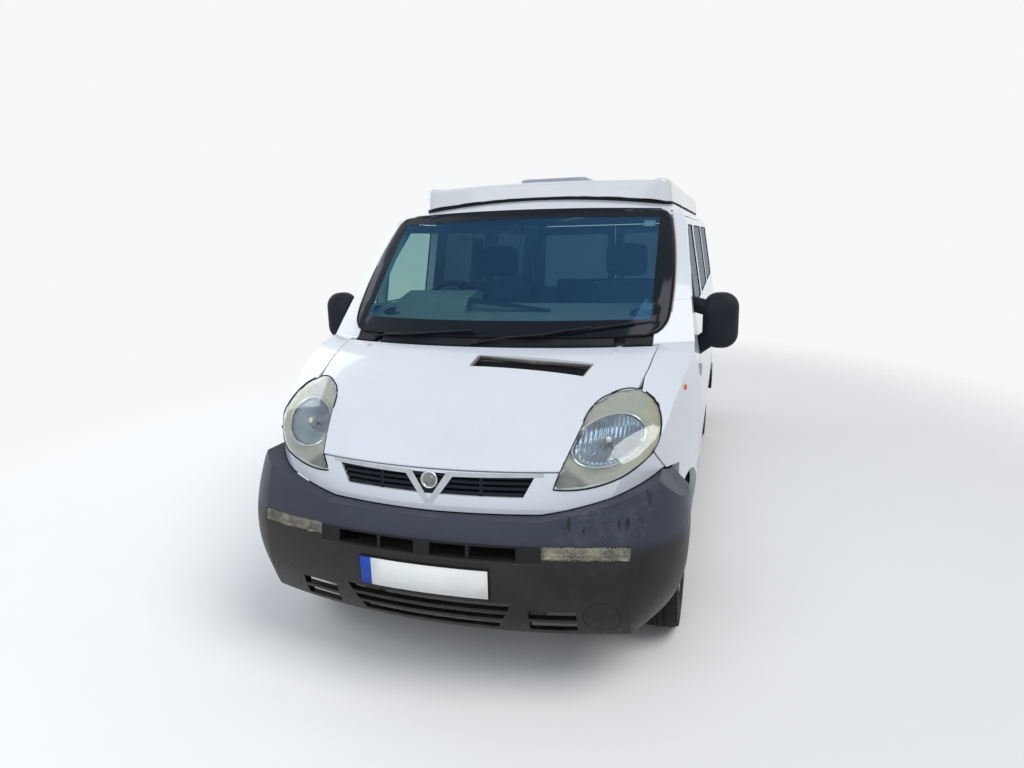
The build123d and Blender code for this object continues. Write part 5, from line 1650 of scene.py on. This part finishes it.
@dataclass
class Wheel:
    """One road wheel: treaded tyre, bolts and cap."""

    end: str
    hand: str
    side: int
    centre: tuple[float, float, float]
    radius: float = 0.335
    blocks: int = 72
    lanes: tuple[tuple[float, float, float], ...] = ((0.0, -0.096, -0.05), (0.5, 0.05, 0.096))
    bolts: int = 5
    bolt_circle: float = 0.057

    def _tyre(self) -> None:
        """Tyre with shoulder blocks and grooves."""
        top, groove = self.radius, self.radius - 0.0075
        profile = [(-0.075, 0.2035), (-0.078, 0.217), (-0.092, 0.232), (-0.0995, 0.262), (-0.0985, 0.288),
                   (-0.096, 0.309), (-0.091, 0.322), (-0.084, top - 0.0065), (-0.07, top - 0.0012),
                   (-0.048, top), (-0.046, groove), (-0.038, groove), (-0.036, top), (-0.018, top),
                   (-0.016, groove), (-0.008, groove), (-0.006, top)]
        profile = profile + [(-along, radius) for along, radius in reversed(profile)]
        form = Form()
        form.spin(profile, self.centre, (self.side, 0, 0), 96)
        for index in range(self.blocks):
            turn = math.tau * index / self.blocks
            for offset, inner, outer in self.lanes:
                shift = turn + offset * math.tau / self.blocks
                ring = []
                for along in (inner, outer):
                    radius = top + 0.0002 - (0.012 if abs(along) > 0.09 else 0.0)
                    for step in (-0.3, 0.3):
                        angle = shift + step * math.tau / self.blocks
                        ring.append(Vector(self.centre) + Vector((self.side * along, radius * math.cos(angle),
                                                                  radius * math.sin(angle))))
                lowered = [Vector((p.x, self.centre[1] + (p.y - self.centre[1]) * 0.975,
                                   self.centre[2] + (p.z - self.centre[2]) * 0.975)) for p in ring]
                order = (0, 1, 3, 2)
                form.grid([[ring[i] for i in order], [lowered[i] for i in order]], closed=True)
                form.mesh.faces.new([form.mesh.verts.new(ring[i]) for i in order])
        piece = form.place(f"tyre_tread_{self.end}_{self.hand}", Coat.TYRE, self.body, "tyre")
        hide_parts(f"tyre_{self.end}_{self.hand}")

    @property
    def body(self) -> str:
        """Body that the wheel belongs to."""
        return f"wheel_{self.end}_{self.hand}"

    def _bolts(self) -> None:
        """Wheel bolts, a centre cap and a valve."""
        x, y, z = self.centre
        out = self.side
        form = Form()
        for index in range(self.bolts):
            turn = math.tau * index / self.bolts + 0.3
            spot = Vector((x + out * 0.0485, y + self.bolt_circle * math.cos(turn),
                           z + self.bolt_circle * math.sin(turn)))
            form.spin([(0.0, 0.0), (0.0, 0.0115), (0.013, 0.0105), (0.016, 0.007), (0.016, 0.0)], spot,
                      (out, 0, 0), 6)
        form.spin([(0.045, 0.034), (0.062, 0.033), (0.068, 0.028), (0.069, 0.0)], (x, y, z), (out, 0, 0), 32)
        form.place(f"wheel_bolts_{self.end}_{self.hand}", Coat.STEEL, self.body, "wheel_steel")
        Form().tube([(x + out * 0.05, y, z + 0.178), (x + out * 0.082, y, z + 0.172)], 0.004, 8).place(
            f"wheel_valve_{self.end}_{self.hand}", Coat.TRIM, self.body, "black_trim")

    def build(self) -> None:
        """Build the wheel's pieces."""
        coat_nodes(Coat.SILVER, f"wheel_{self.end}_{self.hand}")
        self._tyre()
        self._bolts()


@dataclass
class Underside:
    """Floor, axles, engine and pipes."""

    def dress(self) -> None:
        """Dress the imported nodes."""
        coat_nodes(Coat.CHASSIS, "floor_pan", "bulkhead", "subframe", "front_carrier", "tow_eye", "fuel_tank")
        coat_nodes(Coat.CASTING, "knuckle_left", "knuckle_right", "rear_axle", "engine")
        coat_nodes(Coat.PIPE, "exhaust")
        coat_nodes(Coat.TYRE, "spare_wheel")


@dataclass
class Cab:
    """Dashboard with its vents, and the steering wheel."""

    slot: tuple[float, float, float, float] = (-0.24, 0.2, -1.19, -1.15)
    rise: float = 0.004
    vent: Flat = (0.66, -1.2)

    def dress(self) -> None:
        """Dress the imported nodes."""
        coat_nodes(Coat.DASH, "dashboard")
        coat_nodes(Coat.DASH_DARK, "steering_wheel", "seat_bases")

    def build(self) -> None:
        """Build the dashboard's slot and its two vents."""
        top = Skin("dashboard")
        x0, x1, y0, y1 = self.slot
        low = [top.from_above(x, y, 0.001) for x, y in ((x0, y0), (x1, y0), (x1, y1), (x0, y1))]
        high = [point + Vector((0, 0, self.rise)) for point in low]
        form = Form().grid([low, high], closed=True)
        form.mesh.faces.new([form.mesh.verts.new(point) for point in high])
        form.place("dashboard_slot", Coat.DASH_DARK, "body", "cab_plastic")
        for hand, side in SIDES:
            spot = top.from_above(side * self.vent[0], self.vent[1], 0.0)
            Form().spin([(0.0, 0.056), (0.008, 0.054), (0.009, 0.046), (0.003, 0.044), (0.003, 0.0)], spot,
                        (0, -0.25, 1), 32).place(f"dashboard_vent_{hand}", Coat.DASH_DARK, "body", "cab_plastic")


@dataclass
class Padding:
    """One cushion, blown up slightly from a box-like form."""

    name: str
    low: tuple[float, float, float]
    high: tuple[float, float, float]
    lean: float = 0.0
    crown: float = 0.008
    voxel: float = 0.009
    swell: float = 0.016
    pressure: float = 4.0
    frames: int = 20
    coat: Coat = Coat.CLOTH

    def build(self) -> bpy.types.Object:
        """Build the cushion as a crowned closed form and blow it up.

        Returns:
            The cushion.
        """
        low, high = Vector(self.low), Vector(self.high)
        form = Form().block(low, high, min(high - low) * 0.32, 4)
        bmesh.ops.subdivide_edges(form.mesh, edges=form.mesh.edges, cuts=2, use_grid_fill=True)
        centre = (low + high) / 2
        half = (high - low) / 2
        for vertex in form.mesh.verts:
            rel = vertex.co - centre
            share = [rel[i] / half[i] for i in range(3)]
            for i in range(3):
                others = [share[j] for j in range(3) if j != i]
                swell = (1 - others[0] ** 2) * (1 - others[1] ** 2)
                vertex.co[i] += math.copysign(self.crown * max(swell, 0) * abs(share[i]), share[i])
        if self.lean:
            turn = Matrix.Rotation(self.lean, 3, "X")
            pivot = Vector((centre.x, centre.y, low.z))
            for vertex in form.mesh.verts:
                vertex.co = pivot + turn @ (vertex.co - pivot)
        piece = form.place(self.name, self.coat, "body", "upholstery", smooth=60)
        self._inflate(piece)
        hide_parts("seats")
        return piece

    def _inflate(self, piece: bpy.types.Object) -> None:
        """Blow the cushion up as cloth under pressure, with a cap on how far a point moves.

        Args:
            piece: The cushion.
        """
        scene = bpy.context.scene
        remesh = piece.modifiers.new("voxels", "REMESH")
        remesh.mode = "VOXEL"
        remesh.voxel_size = self.voxel
        rest = self._settled(piece)
        cloth = piece.modifiers.new("cloth", "CLOTH")
        cloth.settings.use_pressure = True
        cloth.settings.uniform_pressure_force = self.pressure
        cloth.settings.effector_weights.gravity = 0.0
        cloth.settings.quality = 4
        cloth.collision_settings.use_collision = False
        cloth.point_cache.frame_start = 1
        cloth.point_cache.frame_end = self.frames
        for number in range(1, self.frames + 1):
            scene.frame_set(number)
        self._settled(piece)
        scene.frame_set(1)
        for vertex, start in zip(piece.data.vertices, rest):
            move = vertex.co - start
            if move.length > self.swell:
                vertex.co = start + move.normalized() * self.swell
        piece.data.shade_smooth()

    @staticmethod
    def _settled(piece: bpy.types.Object) -> list[Vector]:
        """Apply the piece's modifiers and return its points.

        Args:
            piece: The cushion.

        Returns:
            Its points.
        """
        graph = bpy.context.evaluated_depsgraph_get()
        made = bpy.data.meshes.new_from_object(piece.evaluated_get(graph))
        piece.modifiers.clear()
        old, piece.data = piece.data, made
        made.name = old.name
        bpy.data.meshes.remove(old)
        return [vertex.co.copy() for vertex in made.vertices]


@dataclass
class Seating:
    """Front seats with head restraints, and the rear bench."""

    seat_middle: float = 0.43
    bench: Flat = (-0.435, 0.625)

    def build(self) -> None:
        """Build every cushion."""
        for hand, side in SIDES:
            x = self.seat_middle * side
            Padding(f"seat_cushion_{hand}", (x - 0.23, -0.7, 0.775), (x + 0.23, -0.24, 0.915)).build()
            Padding(f"seat_back_{hand}", (x - 0.225, -0.235, 0.86), (x + 0.225, -0.115, 1.48),
                    lean=-0.16).build()
            Padding(f"seat_headrest_{hand}", (x - 0.125, -0.105, 1.5), (x + 0.125, -0.015, 1.69),
                    coat=Coat.BOLSTER).build()
        left, right = self.bench
        Padding("bench_cushion", (left, 1.015, 0.795), (right, 1.44, 0.925)).build()
        Padding("bench_back", (left, 1.445, 0.9), (right, 1.565, 1.39), lean=-0.17).build()


@dataclass
class Living:
    """Kitchen unit."""

    def dress(self) -> None:
        """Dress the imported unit."""
        coat_nodes(Coat.BOARD, "kitchen_unit")


@dataclass
class Curtain:
    """Gathered curtain that hangs from a rail over a side window."""

    hand: str
    side: int
    start: float = 0.17
    width: float = 0.2
    head: float = 1.735
    foot: float = 1.2
    plane: float = 0.752
    tumble: float = 0.09
    gathers: int = 7
    overhang: float = 0.04
    rod: float = 0.006

    def _across(self, z: float) -> float:
        """Distance of the curtain's middle plane from the van's middle."""
        return self.plane - self.tumble * max(z - 1.2, 0.0)

    def build(self) -> None:
        """Build the rail and the curtain on it."""
        rows = []
        for z in spread(self.head, self.foot, 22):
            loose = 0.006 + 0.007 * (self.head - z) / (self.head - self.foot)
            row = []
            for share in spread(0.0, 1.0, 98):
                fold = math.sin(share * self.gathers * math.tau + 0.6 * math.sin(share * 9))
                row.append(Vector((self.side * (self._across(z) + loose * fold),
                                   self.start + self.width * share, z)))
            rows.append(row)
        form = Form().grid(rows)
        piece = form.place(f"curtain_{self.hand}", Coat.CURTAIN, "body", "upholstery", smooth=70, shell=0.0008)
        x, z = self.side * self._across(self.head), self.head + self.rod
        y0, y1 = self.start - self.overhang, self.start + self.width + self.overhang
        rail = Form().tube([(x, y0, z), (x, y1, z)], self.rod, 10)
        for y in (y0 + 0.01, y1 - 0.01):
            rail.tube([(x, y, z), (x + self.side * 0.1, y, self.head + 0.02)], 0.004, 8)
        rod = rail.place(f"curtain_rail_{self.hand}", Coat.STEEL, "body", "chrome")


@dataclass
class RoofCap:
    """Elevating cap with raised side shoulders, its vent and its hinge leaves."""

    front: float = -0.604
    rear: float = 1.94
    front_half: float = 0.742
    rear_half: float = 0.77
    edge: float = 2.046
    crown: float = 0.014
    shoulder: tuple[float, float, float] = (0.628, 0.686, 0.008)
    corner: float = 0.075
    bow: float = 0.04
    bow_reach: float = 0.3
    roll: float = 0.026
    skirt: float = 0.008
    search: tuple[float, float, float] = (2.03, 1.84, 0.003)
    skirt_rows: tuple[float, ...] = (0.0, 0.04, 0.35, 0.7, 1.0)
    top_rows: tuple[float, ...] = (0.97, 0.93, 0.88, 0.83, 0.78, 0.7, 0.55, 0.4, 0.2, 0.0)
    vent_rows: tuple[Flat, ...] = ((0.0, 2.05), (0.0, 2.118), (0.004, 2.128), (0.012, 2.136), (0.028, 2.139),
                                   (0.06, 2.14), (0.15, 2.14), (0.205, 2.14))
    vent_corner: float = 0.06
    vent: tuple[float, float, float, float] = (-0.34, 0.14, 0.13, 0.56)
    middle: float = 0.65
    hinge: tuple[float, float, float] = (0.5, 1.954, 1.958)

    def _half(self, y: float) -> float:
        """Half width at a place along the cap."""
        share = (y - self.front) / (self.rear - self.front)
        return self.front_half + (self.rear_half - self.front_half) * share

    def _ring(self, inset: float) -> list[Vector]:
        """Plan outline drawn in by a distance, bowed forward at the front.

        Args:
            inset: Distance inside the widest outline.

        Returns:
            Points round the cap.
        """
        radius = max(self.corner - inset, 0.012)
        rear, front = self.rear - inset - radius, self.front + self.bow + inset + radius
        centres = [(right * (self._half(y) - inset - radius), y)
                   for right, y in ((1, rear), (-1, rear), (-1, front), (1, front))]
        ring = [Vector((x, y, 0)) for x, y, _, _ in round_ring(centres, radius, 8)]
        full = []
        for first, second in zip(ring, ring[1:] + ring[:1]):
            count = max(1, round((second - first).length / 0.04))
            full += [first.lerp(second, step / count) for step in range(count)]
        for point in full:
            if point.y < self.front + self.bow_reach:
                bow = self.bow * (1 - (point.x / self.front_half) ** 2)
                point.y -= max(bow * (1 - (point.y - self.front) / self.bow_reach), 0.0)
        return full

    def _top(self, x: float) -> float:
        """Height of the cap's top at a place across it.

        Args:
            x: Place across.

        Returns:
            The height.
        """
        inner, peak, rise = self.shoulder
        away = abs(x)
        if away < inner:
            return self.edge + self.crown * (1 - (away / inner) ** 2)
        if away < peak:
            return self.edge + rise * math.sin(math.pi / 2 * (away - inner) / (peak - inner))
        return self.edge + rise - 0.012 * ((away - peak) / (self.front_half - peak)) ** 2

    def _foot(self, skin: Skin, point: Vector) -> float:
        """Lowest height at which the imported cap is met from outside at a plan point.

        Args:
            skin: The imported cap.
            point: The plan point.

        Returns:
            The height.
        """
        centre = Vector((0, max(-0.3, min(1.6, point.y)), 0))
        out = (Vector((point.x, point.y, 0)) - centre).normalized()
        level, limit, step = self.search
        while level > limit:
            start = point + out * 0.15 + Vector((0, 0, level - point.z))
            met = skin.hit(start, -out)
            if met is None or (met[0] - start).length > 0.22:
                break
            level -= step
        return level + step

    def _skirt(self) -> list[list[Vector]]:
        """Rows of the cap's side from its foot up to the rounded edge.

        Returns:
            Rows from the foot upward.
        """
        skin = Skin("pop_roof")
        base = self._ring(0.0)
        feet = [self._foot(skin, point) for point in base]
        feet = [sorted(feet[index - 2:index] + [feet[index]] + (feet + feet)[index + 1:index + 3])[-2]
                if 2 <= index else feet[index] for index in range(len(feet))]
        rows = []
        for share in self.skirt_rows:
            row = []
            for inner, outer, low in zip(self._ring(self.skirt), base, feet):
                spot = outer.lerp(inner, share)
                spot.z = low + (self._top(spot.x) - self.roll - low) * share
                row.append(spot)
            rows.append(row)
        return rows

    def _shell(self) -> Form:
        """Skirt, rolled edge and crowned top in one skin.

        Returns:
            The shell's form.
        """
        rows = self._skirt()
        for step in range(1, 7):
            turn = math.pi / 2 * step / 6
            ring = self._ring(self.skirt + self.roll * (1 - math.cos(turn)))
            for point in ring:
                point.z = self._top(point.x) - self.roll * (1 - math.sin(turn))
            rows.append(ring)
        last = rows[-1]
        for share in self.top_rows:
            row = []
            for point in last:
                spot = Vector((point.x * share, self.middle + (point.y - self.middle) * share, 0))
                spot.z = self._top(spot.x)
                row.append(spot)
            rows.append(row)
        return Form().grid(rows, closed=True)

    def _dome(self) -> Form:
        """Low dome of the roof vent.

        Returns:
            The dome's form.
        """
        x0, y0, x1, y1 = self.vent
        rows = []
        for inset, z in self.vent_rows:
            radius = max(self.vent_corner - inset, 0.005)
            centres = corner_centres((x0 + inset, y0 + inset), (x1 - inset, y1 - inset), radius)
            rows.append([Vector((x, y, z)) for x, y, _, _ in round_ring(centres, radius, 6)])
        rows.append([Vector(((x0 + x1) / 2, (y0 + y1) / 2, rows[-1][0].z))] * len(rows[-1]))
        return Form().grid(rows, closed=True)

    def build(self) -> None:
        """Build the cap, the vent and the hinge leaves."""
        cap = self._shell().place("cap_shell_skin", Coat.CAP, "pop_roof", "cap_shell", smooth=50, shell=0.004)
        vent = self._dome().place("cap_vent", Coat.VENT, "pop_roof", "cap_shell", smooth=50)
        leaves = Form()
        for side in (1, -1):
            middle = side * self.hinge[0]
            leaves.block((middle - 0.04, self.rear - 0.014, self.hinge[2] - 0.004),
                         (middle + 0.04, self.hinge[1], self.hinge[2] + 0.008), 0.002)
            leaves.spin([(-0.04, 0.0), (-0.04, 0.009), (0.04, 0.009), (0.04, 0.0)],
                        (middle, self.hinge[1], self.hinge[2]), (1, 0, 0), 20)
        hinge = leaves.place("cap_hinge_leaves", Coat.CAP, "pop_roof", "cap_shell")
        for piece in (cap, vent, hinge):
            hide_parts("pop_roof")


@dataclass
class Canopy:
    """Canvas between roof and cap, folded while the cap is down."""

    half: float = 0.632
    front: float = -0.442
    rear: float = 1.542
    corner: float = 0.08
    foot: float = 1.952
    head: float = 2.008
    folds: int = 5
    pleat: float = 0.008

    def build(self) -> None:
        """Build the canvas as one pleated band."""
        rows = []
        levels = self.folds * 2 + 1
        centres = corner_centres((-self.half, self.front), (self.half, self.rear), self.corner)
        for level in range(levels):
            inset = self.pleat if level % 2 else -self.pleat
            z = self.foot + (self.head - self.foot) * (level / (levels - 1))
            rows.append([Vector((x + nx * inset, y + ny * inset, z))
                         for x, y, nx, ny in round_ring(centres, self.corner, 6)])
        piece = Form().grid(rows, closed=True).place("canvas_folds", Coat.CANVAS, "", "canvas", shell=0.0008)
        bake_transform(piece)
        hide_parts("canvas")


@dataclass
class Studio:
    """Floor, lamps and the photograph's camera."""

    eye: tuple[float, float, float] = (1.0474, -4.5151, 1.7511)
    yaw: float = 0.306889
    pitch: float = 0.211919
    roll: float = -0.025382
    focal: float = 679.86
    wide: int = 1024
    reach: tuple[float, float] = (5.2, 8.0)
    floor_half: float = 14.0
    backdrop: Colour = (0.93, 0.94, 0.95)
    skylight: Colour = (0.86, 0.91, 1.0)
    skylight_strength: float = 0.45
    lamp_tint: Colour = (0.92, 0.96, 1.0)

    def _camera(self) -> None:
        """Camera at the photograph's place."""
        data = bpy.data.cameras.new("camera")
        data.sensor_width = 36
        data.lens = self.focal / self.wide * 36
        data.clip_end = 200
        camera = put("camera", data)
        ahead = Vector((-math.sin(self.yaw) * math.cos(self.pitch), math.cos(self.yaw) * math.cos(self.pitch),
                        -math.sin(self.pitch)))
        level = Vector((math.cos(self.yaw), math.sin(self.yaw), 0))
        above = level.cross(ahead)
        right = level * math.cos(self.roll) + above * math.sin(self.roll)
        up = above * math.cos(self.roll) - level * math.sin(self.roll)
        turned = Matrix((right, up, -ahead)).transposed().to_4x4()
        turned.translation = Vector(self.eye)
        camera.matrix_world = turned
        bpy.context.scene.camera = camera

    def _floor(self) -> None:
        """Plain pale floor that fades into the white surroundings."""
        data = bpy.data.meshes.new("floor")
        far = self.floor_half
        data.from_pydata([(-far, -far, 0), (far, -far, 0), (far, far, 0), (-far, far, 0)], [], [(0, 1, 2, 3)])
        floor = put("floor", data)
        tree = Tree("floor_pale")
        x, y, _ = tree.place()
        ground = tree.add("ShaderNodeBsdfPrincipled", None, {
            "Base Color": tree.mix((0.86, 0.86, 0.86), (0.88, 0.88, 0.88), tree.noise(3, 4)), "Roughness": 0.9,
            "Specular IOR Level": 0.1})
        clear = tree.add("ShaderNodeBsdfTransparent")
        away = x * x * (1 / self.reach[0] ** 2) + y * y * (1 / self.reach[1] ** 2)
        tree.end(tree.blend(ground, clear, away.rise(0.3, 1.0)))
        data.materials.append(tree.material)

    def _lamp(self, name: str, place: Point, size: float, power: float) -> None:
        """Square lamp that looks at the van.

        Args:
            name: Its name.
            place: Where it hangs.
            size: Length of its side.
            power: Watts.
        """
        data = bpy.data.lights.new(name, "AREA")
        data.size = size
        data.energy = power
        data.color = self.lamp_tint
        lamp = put(name, data)
        lamp.location = place
        lamp.rotation_mode = "QUATERNION"
        lamp.rotation_quaternion = (Vector((0, -0.3, 0.9)) - Vector(place)).to_track_quat("-Z", "Y")

    def _sun(self) -> None:
        """Broad soft key that lights floor and van evenly."""
        data = bpy.data.lights.new("key_lamp", "SUN")
        data.energy = 1.5
        data.angle = 0.6
        data.color = (1.0, 0.98, 0.95)
        lamp = put("key_lamp", data)
        lamp.rotation_mode = "QUATERNION"
        lamp.rotation_quaternion = Vector((-5.0, 1.6, -7.5)).to_track_quat("-Z", "Y")

    def _world(self) -> None:
        """Even surroundings that look white behind the van and grey to it."""
        world = bpy.data.worlds.new("studio")
        world.use_nodes = True
        nodes, links = world.node_tree.nodes, world.node_tree.links
        nodes.clear()
        output, path, mix = (nodes.new(f"ShaderNode{kind}") for kind in
                             ("OutputWorld", "LightPath", "MixShader"))
        direct = path.outputs["Is Camera Ray"]
        for kind in ("Is Glossy Ray", "Is Transmission Ray"):
            either = nodes.new("ShaderNodeMath")
            either.operation = "MAXIMUM"
            links.new(direct, either.inputs[0])
            links.new(path.outputs[kind], either.inputs[1])
            direct = either.outputs[0]
        links.new(direct, mix.inputs[0])
        for index, (colour, strength) in enumerate(((self.skylight, self.skylight_strength),
                                                    (self.backdrop, 1.0))):
            plain = nodes.new("ShaderNodeBackground")
            plain.inputs[0].default_value = (*colour, 1)
            plain.inputs[1].default_value = strength
            links.new(plain.outputs[0], mix.inputs[1 + index])
        links.new(mix.outputs[0], output.inputs[0])
        bpy.context.scene.world = world

    def build(self) -> None:
        """Set the stage."""
        scene = bpy.context.scene
        scene.view_settings.view_transform = "Standard"
        self._camera()
        self._floor()
        self._world()
        self._sun()
        self._lamp("front_lamp", (-1.5, -7.5, 4.5), 5.0, 195)
        self._lamp("side_lamp", (-6.5, 1.5, 4.0), 4.0, 110)


def main() -> None:
    """Build the van's sub-assemblies in order."""
    logging.basicConfig(level=logging.INFO, format="%(name)s: %(message)s")
    Studio().build()
    bodywork = Bodywork()
    bodywork.dress()
    bodywork.build()
    Nose().build()
    Badge().build()
    RoofCap().build()
    screen = Screen()
    screen.dress()
    screen.build()
    Mirrors().build()
    Handles().build()
    for end, y, x in AXLES:
        for hand, side in SIDES:
            Wheel(end, hand, side, (side * x, y, WHEEL_HEIGHT)).build()
    Underside().dress()
    cab = Cab()
    cab.dress()
    cab.build()
    Seating().build()
    Living().dress()
    Canopy().build()
    for hand, side in reversed(SIDES):
        Curtain(hand, side).build()


if __name__ == "__main__":
    main()
